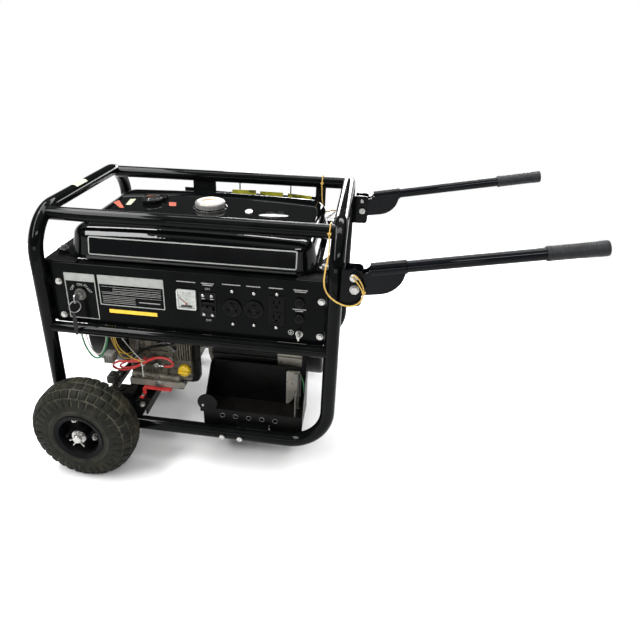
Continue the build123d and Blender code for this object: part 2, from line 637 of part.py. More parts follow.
# ---------------------------------------------------------------- engine
lean = math.radians(25)      # the cylinder leans back, this far above level
bore_dir = (0, math.cos(lean), math.sin(lean))
deck = Plane(at(-125, CRANK_Y, CRANK_Z), x_dir=(1, 0, 0), z_dir=bore_dir)

with BuildPart() as crankcase:
    block(-190, -60, -135, 100, 54, 228)
    with BuildSketch(deck.offset(60)):
        RectangleRounded(126, 118, 12)
    extrude(amount=68)
    block(-60, -26, -135, -98, 60, 200)
    fillet(crankcase.edges().filter_by(Axis.Z).group_by(Axis.Y)[0], 8)
    with BuildSketch(deck.offset(128)):
        Rectangle(400, 400)
    extrude(amount=200, mode=Mode.SUBTRACT)
    block(-190, -48, -148, 105, 36, 54)
    block(-178, -72, -120, 84, 66, 217, mode=Mode.SUBTRACT)
    bar_x(-195, -55, CRANK_Y, CRANK_Z, 20.1, mode=Mode.SUBTRACT)
    # Ribs on the front wall.
    for x in (-170, -150, -130, -110, -90):
        block(x - 2, x + 2, -141, -134, 62, 100)
    for x in (-56, -50, -44, -38, -32):
        block(x - 1.4, x + 1.4, -141, -134, 128, 196)
save(crankcase, "crankcase")

with BuildPart() as cylinder_head:
    with BuildSketch(deck.offset(128)):
        RectangleRounded(104, 100, 14)
    extrude(amount=86)
    for i in range(7):
        with BuildSketch(deck.offset(134 + 11 * i)):
            RectangleRounded(146, 128, 16)
        extrude(amount=4)
    with BuildSketch(deck.offset(214)):
        RectangleRounded(112, 88, 16)
    extrude(amount=26)
save(cylinder_head, "cylinder_head")

# Fan shroud: round housing on the flywheel end, with air slots in its face.
with BuildPart() as fan_shroud:
    bar_x(-292, -190, CRANK_Y, CRANK_Z, 125)
    fillet(fan_shroud.edges().filter_by(GeomType.CIRCLE).sort_by(Axis.X)[0], 8)
    bar_x(-288, -190, CRANK_Y, CRANK_Z, 121, mode=Mode.SUBTRACT)
    with Locations(Plane(at(-290, CRANK_Y, CRANK_Z), x_dir=(0, 1, 0), z_dir=(-1, 0, 0))):
        with PolarLocations(62, 12):
            Box(44, 9, 12, mode=Mode.SUBTRACT)
    bar_x(-302, -290, CRANK_Y, CRANK_Z, 26)
    block(-312, -290, CRANK_Y - 62, CRANK_Y - 42, CRANK_Z + 78, CRANK_Z + 98)
save(fan_shroud, "fan_shroud")

with BuildPart() as recoil_grip:
    block(-330, -312.4, CRANK_Y - 60, CRANK_Y - 44, CRANK_Z + 58, CRANK_Z + 118)
    fillet(recoil_grip.edges(), 5)
save(recoil_grip, "recoil_grip")

with BuildPart() as crankshaft:
    bar_x(-268, -190, CRANK_Y, CRANK_Z, 15)
    bar_x(-190, -146, CRANK_Y, CRANK_Z, 20)
    bar_x(-146, -134, CRANK_Y, CRANK_Z, 46)
    bar_x(-134, -116, CRANK_Y, CRANK_Z + 26, 17)
    bar_x(-116, -104, CRANK_Y, CRANK_Z, 46)
    bar_x(-104, 30, CRANK_Y, CRANK_Z, 20)
    bar_x(30, 262, CRANK_Y, CRANK_Z, 16)
save(crankshaft, "crankshaft")

with BuildPart() as flywheel:
    bar_x(-262, -222, CRANK_Y, CRANK_Z, 110)
    bar_x(-262, -240, CRANK_Y, CRANK_Z, 96, mode=Mode.SUBTRACT)
    bar_x(-262, -240, CRANK_Y, CRANK_Z, 30)
    bar_x(-270, -220, CRANK_Y, CRANK_Z, 15.02, mode=Mode.SUBTRACT)
save(flywheel, "flywheel")

with BuildPart() as oil_cap:
    bar_y(-41, -158, -141.3, 96, 13)
    fillet(oil_cap.edges().filter_by(GeomType.CIRCLE).sort_by(Axis.Y)[0], 3)
    with Locations(at(-41, -160, 96)):
        Box(22, 9, 6)
save(oil_cap, "oil_cap")

with BuildPart() as air_cleaner:
    block(-302, -214, 112, 218, 246, 340)
    fillet(air_cleaner.edges().filter_by(Axis.Y), 14)
    bar_x(-214, -198.2, 165, 268, 18)
save(air_cleaner, "air_cleaner")

with BuildPart() as muffler:
    with BuildSketch(Plane.YZ.offset(XC - 10)):
        with Locations((162, ZB + 278)):
            RectangleRounded(104, 92, 36)
    extrude(amount=240)
    fillet(muffler.faces().filter_by(Axis.X).edges(), 6)
    with BuildSketch(Plane.YZ.offset(XC - 7)):
        with Locations((162, ZB + 278)):
            RectangleRounded(98, 86, 33)
    extrude(amount=234, mode=Mode.SUBTRACT)
    bar_x(-51.8, -10, 165, 268, 15)
    bar_x(230, 262, 150, 290, 11)
    bar_x(236, 263, 150, 290, 8, mode=Mode.SUBTRACT)
save(muffler, "muffler")

# ---------------------------------------------------------------- alternator
with BuildPart() as bell_housing:
    bar_x(-60, -50, CRANK_Y, CRANK_Z, 74)
    bar_x(-50, 15, CRANK_Y, CRANK_Z, 70)
    bar_x(15, 25, CRANK_Y, CRANK_Z, 105)
    bar_x(-60, 25, CRANK_Y, CRANK_Z, 64, mode=Mode.SUBTRACT)
save(bell_housing, "bell_housing")

with BuildPart() as alternator_stator:
    block(115, 186, -98, 58, 36, 90)
    bar_x(25, 190, CRANK_Y, CRANK_Z, STATOR_R)
    bar_x(25, 190, CRANK_Y, CRANK_Z, STATOR_BORE, mode=Mode.SUBTRACT)
save(alternator_stator, "alternator_stator")

with BuildPart() as alternator_end_bell:
    bar_x(190, 258, CRANK_Y, CRANK_Z, 108)
    bar_x(190, 246, CRANK_Y, CRANK_Z, 92, mode=Mode.SUBTRACT)
    bar_x(240, 262, CRANK_Y, CRANK_Z, 16.1, mode=Mode.SUBTRACT)
    with Locations(Plane(at(224, CRANK_Y, CRANK_Z), x_dir=(0, 1, 0), z_dir=(1, 0, 0))):
        with PolarLocations(108, 36):
            Box(7, 5, 66)
save(alternator_end_bell, "alternator_end_bell")

with BuildPart() as alternator_end_cover:
    bar_x(258, 298, CRANK_Y, CRANK_Z, 104)
    fillet(alternator_end_cover.edges().filter_by(GeomType.CIRCLE).sort_by(Axis.X)[-1], 7)
    bar_x(258, 295, CRANK_Y, CRANK_Z, 100, mode=Mode.SUBTRACT)
    with Locations(Plane(at(296, CRANK_Y, CRANK_Z), x_dir=(0, 1, 0), z_dir=(1, 0, 0))):
        with PolarLocations(60, 14):
            Box(40, 7, 12, mode=Mode.SUBTRACT)
save(alternator_end_cover, "alternator_end_cover")

with BuildPart() as alternator_rotor:
    bar_x(44, 180, CRANK_Y, CRANK_Z, ROTOR_R)
    for side_y in (-1, 1):
        block(40, 184, CRANK_Y - 14, CRANK_Y + 14, CRANK_Z + side_y * 56, CRANK_Z + side_y * 80, mode=Mode.SUBTRACT)
    bar_x(40, 184, CRANK_Y, CRANK_Z, 16.02, mode=Mode.SUBTRACT)
save(alternator_rotor, "alternator_rotor")

# ---------------------------------------------------------------- battery tray
with BuildPart() as battery_tray:
    block(28, 266, -226, -136, 20.4, 22.4)
    block(28, 266, -228, -226, 20.4, 51)
    block(28, 214, -138, -136, 20.4, 130)
    block(214, 266, -138, -136, 20.4, 74)
    block(251, 266, -138, -136, 74, 178)
    # Skirt that closes the gap behind the lower rail.
    block(28, 43.5, -228, -226, 3, 20.4)
    block(43.5, 110, -228, -226, 13.4, 20.4)
    block(190, 266, -228, -226, 3, 20.4)
    with BuildSketch(Plane.YZ.offset(XC + 264)):
        with BuildLine():
            Polyline((-228, ZB + 20.4), (-136, ZB + 20.4), (-136, ZB + 178), (-150, ZB + 178),
                     (-228, ZB + 51), close=True)
        make_face()
    extrude(amount=2)
    with BuildSketch(Plane.YZ.offset(XC + 28)):
        with BuildLine():
            Polyline((-228, ZB + 20.4), (-136, ZB + 20.4), (-136, ZB + 130), (-150, ZB + 130),
                     (-228, ZB + 51), close=True)
        make_face()
    extrude(amount=2)
    bar_y(38, -228, -226, 66, 24)
    block(20, 38, -228, -226, 40, 60)
    for i in range(5):
        bar_y(74.5 + 31.8 * i, -230, -224, 34.5, 5.5, mode=Mode.SUBTRACT)
    bar_y(27, -230, -224, 57, 4, mode=Mode.SUBTRACT)
    for y in (-215, -150):
        bar_z(247, y, 10, 30, 2.55, mode=Mode.SUBTRACT)
save(battery_tray, "battery_tray")

# ---------------------------------------------------------------- cords
ROUTES = {
    "front_lanyard": (CORD_R, [
        (304, -202.9, 506), (304.5, -206, 488), (306, -218, 472), (305.5, -240, 457),
        (303, -260, 442), (302, -269, 425), (306, -271.5, 408), (317, -273.5, 394),
        (334, -275.5, 384), (353, -277, 379.5), (369, -279, 385.5), (379, -280, 397.5),
        (381.5, -280, 412)]),
    "rear_lanyard": (CORD_R, [
        (254, 171.1, 506), (254.5, 168.5, 488), (255.5, 170, 470), (257, 172, 453),
        (259.5, 176, 437), (263, 186, 423), (270, 201, 416), (281, 221, 414.5),
        (291, 240, 409.5), (305, 259, 401), (320, 269.5, 394.5), (337, 275.5, 390), (354, 278, 388.5),
        (369, 279.5, 392), (379, 280, 401.5), (381.5, 280, 414)]),
    "battery_cable": (CABLE_R, [
        (-144, -135, 116), (-144, -155, 116), (-162, -174, 123), (-190, -178, 126),
        (-211, -176, 117), (-223, -167, 101), (-221, -157, 86), (-203, -154, 81),
        (-176, -160, 92), (-152, -166, 108), (-128, -169, 126), (-104, -169, 139),
        (-83, -167, 140), (-68, -163, 129), (-66, -158, 114), (-78, -155, 105), (-95, -154, 105)]),
    "panel_wires": (WIRE_R, [
        (-266, -214, 258), (-266, -214, 236), (-266, -213, 212), (-264.5, -211, 190),
        (-260, -209, 170), (-252, -207, 152), (-240, -206, 144), (-227, -206.5, 152),
        (-217, -208, 170), (-208, -209.5, 192), (-202, -211, 214), (-199, -213, 237), (-199, -213, 258)]),
}
for name, (radius, points) in ROUTES.items():
    route = [at(*p) for p in points]
    radii = bend_radii(route)
    with BuildPart() as cord:
        with BuildLine() as run:
            FilletPolyline(*route, radius=radii)
        with BuildSketch(Plane(origin=run.line @ 0, z_dir=run.line % 0)):
            Circle(radius)
        sweep()
    save(cord, name)
    print(name, "length", round(run.wire().length, 1), "least radius", round(min(radii), 1),
          "of", round(2 * radius, 1), "dia, volume ratio",
          round(cord.part.volume / (math.pi * radius ** 2 * run.wire().length), 4))
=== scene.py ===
import math
import random

import bmesh
import bpy
from mathutils import Matrix, Vector
from mathutils.bvhtree import BVHTree


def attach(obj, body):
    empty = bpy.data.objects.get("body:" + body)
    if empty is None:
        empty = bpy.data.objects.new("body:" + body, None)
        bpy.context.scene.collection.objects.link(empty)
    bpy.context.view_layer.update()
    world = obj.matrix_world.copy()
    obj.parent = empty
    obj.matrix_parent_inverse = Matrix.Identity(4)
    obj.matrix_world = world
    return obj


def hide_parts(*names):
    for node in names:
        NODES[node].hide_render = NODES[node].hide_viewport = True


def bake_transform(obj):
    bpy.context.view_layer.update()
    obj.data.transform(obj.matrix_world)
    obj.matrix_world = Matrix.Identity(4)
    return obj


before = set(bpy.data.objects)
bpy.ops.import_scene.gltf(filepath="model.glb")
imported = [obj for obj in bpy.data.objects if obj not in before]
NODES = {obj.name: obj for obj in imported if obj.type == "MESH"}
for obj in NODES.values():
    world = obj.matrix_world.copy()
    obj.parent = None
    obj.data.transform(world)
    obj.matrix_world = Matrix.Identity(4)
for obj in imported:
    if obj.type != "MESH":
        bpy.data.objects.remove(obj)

random.seed(7)
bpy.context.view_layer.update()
ROOT = "generator"
XC, ZB = -227.565, 97.0      # frame middle in X and lower rail height, in mm


def M(x, y, z):
    """A point given in mm from the frame's middle, at lower rail height."""
    return Vector(((XC + x) / 1000, y / 1000, (ZB + z) / 1000))


# ------------------------------------------------------------------ camera
def rot(axis, deg):
    return Matrix.Rotation(math.radians(deg), 3, axis)


cam_data = bpy.data.cameras.new("camera")
cam = bpy.data.objects.new("camera", cam_data)
bpy.context.scene.collection.objects.link(cam)
R = rot("Z", 9.1772) @ rot("X", -26.0177) @ rot("Y", -0.6931)
right, fwd, up = R.col[0], R.col[1], R.col[2]
cam.matrix_world = Matrix.Translation(M(371.9, -1283.85, 901.66)) @ Matrix((
    (right.x, up.x, -fwd.x), (right.y, up.y, -fwd.y), (right.z, up.z, -fwd.z))).to_4x4()
cam_data.sensor_width = 36.0
cam_data.sensor_fit = "HORIZONTAL"
cam_data.lens = 568.09 / 640 * 36
cam_data.shift_x = 0.0681
cam_data.shift_y = -0.0470
cam_data.clip_end = 50
bpy.context.scene.camera = cam


# ------------------------------------------------------------------ materials
def mat(name, c1, c2, rough=(0.3, 0.45), metal=0.0, scale=30.0, bump=0.0, bscale=400.0,
        coat=0.0, dust=0.0, dust_col=(0.22, 0.2, 0.17), stretch=(1, 1, 1), spec=0.5, spots=None):
    """Principled shader with mottled colour, uneven gloss, fine relief and settled dust."""
    m = bpy.data.materials.new(name)
    m.use_nodes = True
    nt = m.node_tree
    n, l = nt.nodes, nt.links
    b = n["Principled BSDF"]
    tc = n.new("ShaderNodeTexCoord")
    mp = n.new("ShaderNodeMapping")
    mp.inputs["Scale"].default_value = stretch
    l.new(tc.outputs["Object"], mp.inputs["Vector"])
    nz = n.new("ShaderNodeTexNoise")
    nz.inputs["Scale"].default_value = scale
    nz.inputs["Detail"].default_value = 6
    l.new(mp.outputs["Vector"], nz.inputs["Vector"])
    cr = n.new("ShaderNodeValToRGB")
    cr.color_ramp.elements[0].position = 0.32
    cr.color_ramp.elements[1].position = 0.68
    cr.color_ramp.elements[0].color = (*c1, 1)
    cr.color_ramp.elements[1].color = (*c2, 1)
    l.new(nz.outputs[0], cr.inputs["Fac"])
    col = cr.outputs["Color"]
    if spots:
        sn = n.new("ShaderNodeTexNoise")
        sn.inputs["Scale"].default_value = spots[1]
        sn.inputs["Detail"].default_value = 8
        l.new(mp.outputs["Vector"], sn.inputs["Vector"])
        sr = n.new("ShaderNodeValToRGB")
        sr.color_ramp.elements[0].position = spots[2]
        sr.color_ramp.elements[1].position = min(1.0, spots[2] + 0.12)
        l.new(sn.outputs[0], sr.inputs["Fac"])
        mx = n.new("ShaderNodeMix")
        mx.data_type = "RGBA"
        l.new(sr.outputs["Color"], mx.inputs[0])
        l.new(col, mx.inputs[6])
        mx.inputs[7].default_value = (*spots[0], 1)
        col = mx.outputs[2]
    if dust:
        geo = n.new("ShaderNodeNewGeometry")
        sep = n.new("ShaderNodeSeparateXYZ")
        l.new(geo.outputs["Normal"], sep.inputs[0])
        mr = n.new("ShaderNodeMapRange")
        mr.inputs["From Min"].default_value = 0.35
        mr.inputs["From Max"].default_value = 1.0
        mr.inputs["To Max"].default_value = dust
        l.new(sep.outputs["Z"], mr.inputs["Value"])
        dn = n.new("ShaderNodeTexNoise")
        dn.inputs["Scale"].default_value = 55
        dn.inputs["Detail"].default_value = 8
        l.new(tc.outputs["Object"], dn.inputs["Vector"])
        mu = n.new("ShaderNodeMath")
        mu.operation = "MULTIPLY"
        l.new(mr.outputs["Result"], mu.inputs[0])
        l.new(dn.outputs[0], mu.inputs[1])
        mx = n.new("ShaderNodeMix")
        mx.data_type = "RGBA"
        l.new(mu.outputs[0], mx.inputs[0])
        l.new(col, mx.inputs[6])
        mx.inputs[7].default_value = (*dust_col, 1)
        col = mx.outputs[2]
    l.new(col, b.inputs["Base Color"])
    rn = n.new("ShaderNodeTexNoise")
    rn.inputs["Scale"].default_value = scale * 2.3
    rn.inputs["Detail"].default_value = 4
    l.new(mp.outputs["Vector"], rn.inputs["Vector"])
    rr = n.new("ShaderNodeMapRange")
    rr.inputs["From Min"].default_value = 0.3
    rr.inputs["From Max"].default_value = 0.7
    rr.inputs["To Min"].default_value = rough[0]
    rr.inputs["To Max"].default_value = rough[1]
    l.new(rn.outputs[0], rr.inputs["Value"])
    l.new(rr.outputs["Result"], b.inputs["Roughness"])
    b.inputs["Metallic"].default_value = metal
    b.inputs["Coat Weight"].default_value = coat
    b.inputs["Coat Roughness"].default_value = 0.06
    b.inputs["Specular IOR Level"].default_value = spec
    if bump:
        bn = n.new("ShaderNodeTexNoise")
        bn.inputs["Scale"].default_value = bscale
        bn.inputs["Detail"].default_value = 5
        l.new(mp.outputs["Vector"], bn.inputs["Vector"])
        bp = n.new("ShaderNodeBump")
        bp.inputs["Strength"].default_value = bump
        bp.inputs["Distance"].default_value = 0.001
        l.new(bn.outputs[0], bp.inputs["Height"])
        l.new(bp.outputs["Normal"], b.inputs["Normal"])
    return m


MAT = {
    "frame": mat("frame_enamel", (0.0010, 0.0012, 0.0013), (0.0024, 0.0027, 0.0028), (0.03, 0.08), scale=18, bump=0.012, bscale=260, dust=0.008, dust_col=(0.10, 0.095, 0.08), spec=0.068),
    # the frame's black enamel made lighter and bluer for the handle arms: painted sheen standing in for their
    # highlights, with a higher specular level
    "arm": mat("arm_enamel_painted_sheen", (0.0011, 0.0015, 0.0021), (0.0027, 0.0033, 0.0044), (0.03, 0.08), scale=18, bump=0.012, bscale=260, dust=0.008, dust_col=(0.10, 0.095, 0.08), spec=0.095),
    "tray": mat("tray_enamel", (0.0010, 0.0010, 0.0010), (0.0025, 0.0025, 0.0023), (0.30, 0.45), scale=25, bump=0.05, bscale=300, dust=0.04, spec=0.08),
    "panel": mat("panel_enamel", (0.0007, 0.0009, 0.0010), (0.0017, 0.0020, 0.0021), (0.16, 0.26), scale=14, bump=0.03, bscale=500, dust=0.005, spec=0.04),
    "tank": mat("tank_gloss", (0.0006, 0.0008, 0.0009), (0.0014, 0.0017, 0.0019), (0.010, 0.028), scale=9, bump=0.003, bscale=60, dust=0.002, spec=0.26),
    "tank_under": mat("tank_under", (0.001, 0.001, 0.0012), (0.003, 0.003, 0.003), (0.2, 0.35), scale=20, spec=0.1),
    "rubber": mat("moulded_rubber", (0.0036, 0.0046, 0.0058), (0.0082, 0.0098, 0.0116), (0.40, 0.58), scale=60, bump=0.25, bscale=900, dust=0.04, spec=0.22),
    "rim": mat("rim_paint", (0.0008, 0.0010, 0.0013), (0.0020, 0.0023, 0.0029), (0.40, 0.55), scale=35, bump=0.08, bscale=400, dust=0.02, spec=0.06),
    "zinc": mat("zinc_plate", (0.30, 0.30, 0.29), (0.46, 0.45, 0.43), (0.22, 0.40), metal=1.0, scale=140, bump=0.12, bscale=900, spots=((0.16, 0.14, 0.10), 160, 0.60)),
    "chrome": mat("chrome_plate", (0.46, 0.46, 0.46), (0.58, 0.58, 0.58), (0.08, 0.18), metal=1.0, scale=60),
    "cast": mat("cast_metal", (0.056, 0.051, 0.037), (0.150, 0.138, 0.107), (0.38, 0.58), metal=0.45, scale=34, bump=0.55, bscale=650, spots=((0.028, 0.024, 0.016), 90, 0.53)),
    "cast_pale": mat("cast_pale", (0.19, 0.18, 0.15), (0.30, 0.285, 0.25), (0.38, 0.55), metal=0.35, scale=40, bump=0.4, bscale=600, spots=((0.09, 0.08, 0.06), 80, 0.58)),
    "dull_rod": mat("dull_rod", (0.05, 0.05, 0.045), (0.10, 0.095, 0.085), (0.40, 0.58), metal=0.8, scale=70, bump=0.1, bscale=700),
    # the frame's black enamel made lighter, with more pale dust on upward faces: real dust plus painted sheen standing
    # in for the ear plates' shine
    "bracket": mat("bracket_enamel_dust_and_sheen", (0.0022, 0.0025, 0.0025), (0.0060, 0.0064, 0.0062), (0.14, 0.26), scale=24, bump=0.04, bscale=300, dust=0.04, dust_col=(0.10, 0.098, 0.09), spec=0.22),
    "orange_dim": mat("faded_orange", (0.20, 0.040, 0.022), (0.30, 0.058, 0.030), (0.4, 0.55), scale=60),
    "steel": mat("machined_steel", (0.16, 0.16, 0.16), (0.26, 0.26, 0.26), (0.3, 0.5), metal=0.9, scale=70, bump=0.1, bscale=700),
    "lamination": mat("lamination", (0.006, 0.006, 0.006), (0.016, 0.016, 0.015), (0.4, 0.55), metal=0.3, scale=90, bump=0.3, bscale=300, stretch=(9, 1, 1), spec=0.15),
    "satin": mat("satin_black", (0.0012, 0.0012, 0.0013), (0.0035, 0.0035, 0.0034), (0.32, 0.5), scale=30, bump=0.1, bscale=500, dust=0.05, spec=0.12),
    "heat": mat("heat_paint", (0.005, 0.005, 0.005), (0.013, 0.012, 0.010), (0.5, 0.7), metal=0.2, scale=26, bump=0.2, bscale=500, spots=((0.04, 0.024, 0.014), 22, 0.62), spec=0.2),
    "plastic": mat("black_moulding", (0.0013, 0.0013, 0.0014), (0.0032, 0.0032, 0.0033), (0.26, 0.40), scale=80, bump=0.10, bscale=1200, spec=0.09),
    "plastic_dk": mat("socket_face", (0.0010, 0.0010, 0.0011), (0.0020, 0.0020, 0.0021), (0.24, 0.36), scale=80, bump=0.06, bscale=1200, spec=0.06),
    # grey moulding with dark spots: grime on the regulator box, and on the hub tubes a painted sheen over their real
    # black
    "grime_and_sheen": mat("grimy_moulding_and_sheen", (0.014, 0.014, 0.012), (0.035, 0.034, 0.028), (0.45, 0.6), scale=60, bump=0.2, bscale=700, spots=((0.006, 0.006, 0.005), 40, 0.56), spec=0.2),
    "meter": mat("meter_case", (0.30, 0.31, 0.30), (0.40, 0.41, 0.39), (0.25, 0.4), scale=60, bump=0.05, bscale=900),
    "dial": mat("dial_face", (0.46, 0.46, 0.43), (0.54, 0.54, 0.50), (0.5, 0.6), scale=40),
    "cap": mat("cap_moulding", (0.15, 0.147, 0.138), (0.24, 0.235, 0.22), (0.28, 0.42), metal=0.45, scale=70, bump=0.12, bscale=900),
    "cap_top": mat("cap_label", (0.50, 0.43, 0.35), (0.62, 0.55, 0.47), (0.28, 0.4), scale=24),
    "orange": mat("orange_ink", (0.42, 0.060, 0.015), (0.54, 0.10, 0.025), (0.35, 0.5), scale=40),
    "white": mat("white_ink", (0.19, 0.20, 0.185), (0.25, 0.26, 0.24), (0.35, 0.5), scale=60),
    "grey": mat("grey_ink", (0.15, 0.15, 0.145), (0.23, 0.23, 0.22), (0.4, 0.55), scale=120),
    "navy": mat("decal_ground", (0.0005, 0.0006, 0.0008), (0.0010, 0.0012, 0.0016), (0.10, 0.18), scale=12, spec=0.07),
    "yellow": mat("yellow_ink", (0.55, 0.35, 0.012), (0.66, 0.43, 0.02), (0.35, 0.5), scale=50),
    "lime": mat("lime_label", (0.16, 0.165, 0.012), (0.34, 0.32, 0.035), (0.12, 0.24), scale=38, spots=((0.05, 0.055, 0.008), 46, 0.54)),
    "pale": mat("pale_label", (0.24, 0.26, 0.17), (0.36, 0.37, 0.27), (0.3, 0.45), scale=60),
    "oil": mat("oil_cap", (0.46, 0.29, 0.008), (0.62, 0.42, 0.015), (0.35, 0.5), scale=70, bump=0.15, bscale=800, spots=((0.22, 0.14, 0.015), 40, 0.60)),
    "needle": mat("needle_paint", (0.22, 0.035, 0.014), (0.30, 0.05, 0.02), (0.35, 0.5), scale=100),
    "twine": mat("twine", (0.34, 0.21, 0.035), (0.52, 0.35, 0.085), (0.6, 0.8), scale=300, bump=0.6, bscale=1800, stretch=(1, 1, 3)),
    "red": mat("red_insulation", (0.38, 0.022, 0.022), (0.52, 0.042, 0.036), (0.35, 0.5), scale=90, bump=0.08, bscale=900),
    "green": mat("green_insulation", (0.012, 0.12, 0.04), (0.025, 0.20, 0.075), (0.35, 0.5), scale=90),
    "wire_y": mat("yellow_insulation", (0.48, 0.30, 0.025), (0.60, 0.40, 0.05), (0.35, 0.5), scale=90),
    "wire_w": mat("white_insulation", (0.34, 0.34, 0.30), (0.45, 0.45, 0.40), (0.35, 0.5), scale=90),
    "hose": mat("black_hose", (0.003, 0.003, 0.003), (0.008, 0.008, 0.0075), (0.4, 0.55), scale=90, bump=0.1, bscale=900, spec=0.2),
    "strap": mat("key_tag", (0.004, 0.004, 0.0042), (0.009, 0.009, 0.009), (0.5, 0.65), scale=90, bump=0.3, bscale=1200, spec=0.2),
    "tie": mat("nylon_tie", (0.45, 0.45, 0.40), (0.55, 0.55, 0.50), (0.3, 0.4), scale=60),
    "connector": mat("connector", (0.13, 0.128, 0.112), (0.22, 0.215, 0.19), (0.4, 0.55), scale=60, bump=0.1, bscale=700),
}


def tyre_material():
    """Dark dusty rubber: pale dirt lies in the grooves, given by the mesh's own groove value."""
    m = mat("tyre_rubber", (0.0030, 0.0034, 0.0024), (0.0090, 0.0092, 0.0060), (0.50, 0.72), scale=26, bump=0.45, bscale=520,
            spots=((0.021, 0.019, 0.011), 14, 0.55), spec=0.10)
    n, l = m.node_tree.nodes, m.node_tree.links
    b = n["Principled BSDF"]
    col = b.inputs["Base Color"].links[0].from_socket
    at = n.new("ShaderNodeAttribute")
    at.attribute_name = "groove"
    tc = n.new("ShaderNodeTexCoord")
    nz = n.new("ShaderNodeTexNoise")
    nz.inputs["Scale"].default_value = 38
    nz.inputs["Detail"].default_value = 6
    l.new(tc.outputs["Object"], nz.inputs["Vector"])
    mr = n.new("ShaderNodeMapRange")
    mr.inputs["From Min"].default_value = 0.36
    mr.inputs["From Max"].default_value = 0.62
    l.new(nz.outputs[0], mr.inputs["Value"])
    mu = n.new("ShaderNodeMath")
    mu.operation = "MULTIPLY"
    l.new(at.outputs["Fac"], mu.inputs[0])
    l.new(mr.outputs["Result"], mu.inputs[1])
    mx = n.new("ShaderNodeMix")
    mx.data_type = "RGBA"
    l.new(mu.outputs[0], mx.inputs[0])
    l.new(col, mx.inputs[6])
    mx.inputs[7].default_value = (0.066, 0.062, 0.046, 1)
    l.new(mx.outputs[2], b.inputs["Base Color"])
    return m


MAT["tyre"] = tyre_material()


def glass(name):
    m = bpy.data.materials.new(name)
    m.use_nodes = True
    n, l = m.node_tree.nodes, m.node_tree.links
    b = n["Principled BSDF"]
    b.inputs["Base Color"].default_value = (0.95, 0.97, 0.97, 1)
    b.inputs["Transmission Weight"].default_value = 1.0
    b.inputs["IOR"].default_value = 1.25
    tc = n.new("ShaderNodeTexCoord")
    nz = n.new("ShaderNodeTexNoise")
    nz.inputs["Scale"].default_value = 60
    l.new(tc.outputs["Object"], nz.inputs["Vector"])
    mr = n.new("ShaderNodeMapRange")
    mr.inputs["To Min"].default_value = 0.02
    mr.inputs["To Max"].default_value = 0.10
    l.new(nz.outputs[0], mr.inputs["Value"])
    l.new(mr.outputs["Result"], b.inputs["Roughness"])
    return m


MAT["lens"] = glass("clear_lens")


# ------------------------------------------------------------------ mesh helpers
def finish_mesh(name, bm, material, body, angle=35.0):
    bmesh.ops.recalc_face_normals(bm, faces=bm.faces)
    me = bpy.data.meshes.new(name)
    bm.to_mesh(me)
    bm.free()
    for p in me.polygons:
        p.use_smooth = True
    me.set_sharp_from_angle(angle=math.radians(angle))
    me.materials.append(MAT[material])
    ob = bpy.data.objects.new(name, me)
    bpy.context.scene.collection.objects.link(ob)
    if body:
        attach(ob, body)
    return ob


def basis(axis):
    z = Vector(axis).normalized()
    x = Vector((0, 0, 1)).cross(z)
    if x.length < 1e-4:
        x = Vector((1, 0, 0))
    x.normalize()
    return x, z.cross(x), z


def add_lathe(bm, profile, origin, axis, segs=48, ripple=None):
    """Turns (radius, height) pairs in mm about an axis. A radius of 0 closes an end."""
    x, y, z = basis(axis)
    rings = []
    for r, h in profile:
        if r <= 1e-6:
            rings.append([bm.verts.new(origin + z * (h / 1000))])
            continue
        ring = []
        for i in range(segs):
            t = 2 * math.pi * i / segs
            rr = r + (ripple(t, r, h) if ripple else 0.0)
            ring.append(bm.verts.new(origin + (x * math.cos(t) + y * math.sin(t)) * (rr / 1000) + z * (h / 1000)))
        rings.append(ring)
    for a, b in zip(rings, rings[1:]):
        for i in range(segs):
            j = (i + 1) % segs
            if len(a) == 1 and len(b) == 1:
                continue
            if len(a) == 1:
                bm.faces.new((a[0], b[i], b[j]))
            elif len(b) == 1:
                bm.faces.new((a[i], b[0], a[j]))
            else:
                bm.faces.new((a[i], b[i], b[j], a[j]))


def lathe(name, profile, origin, axis, material, body=ROOT, segs=48, ripple=None, angle=35.0):
    bm = bmesh.new()
    add_lathe(bm, profile, origin, axis, segs, ripple)
    return finish_mesh(name, bm, material, body, angle)


def add_rod(bm, p, q, r, segs=20, edge=0.15):
    d = (q - p)
    L = d.length * 1000
    e = min(edge * r, L / 4)
    add_lathe(bm, [(0, 0), (r - e, 0), (r, e), (r, L - e), (r - e, L), (0, L)], p, d, segs)


def rod(name, p, q, r, material, body=ROOT, slot=None, segs=20):
    bm = bmesh.new()
    add_rod(bm, p, q, r, segs)
    return finish_mesh(name, bm, material, body)


def add_hex(bm, origin, axis, across, height, washer=0.0):
    """Hex head with a domed chamfer, on a washer face."""
    if washer:
        add_lathe(bm, [(0, 0), (washer, 0), (washer, 1.0), (washer - 0.5, 1.4), (0, 1.4)], origin, axis, 32)
    h0 = 1.3 if washer else 0.0
    r = across / 2 / math.cos(math.pi / 6)

    def facet(t, rad, h):
        k = (t + math.pi / 6) % (math.pi / 3) - math.pi / 6
        return rad * (math.cos(math.pi / 6) / math.cos(k) - 1)
    add_lathe(bm, [(0, h0), (r, h0), (r, height - 0.9)], origin, axis, 36, facet)
    add_lathe(bm, [(r * 0.86 / math.cos(0), height - 0.9), (r * 0.80, height), (0, height)], origin, axis, 36)
    add_lathe(bm, [(r, height - 0.9), (r * 0.84, height - 0.2), (0, height - 0.2)], origin, axis, 36, lambda t, rad, h: facet(t, rad, h) if rad > r * 0.9 else 0.0)


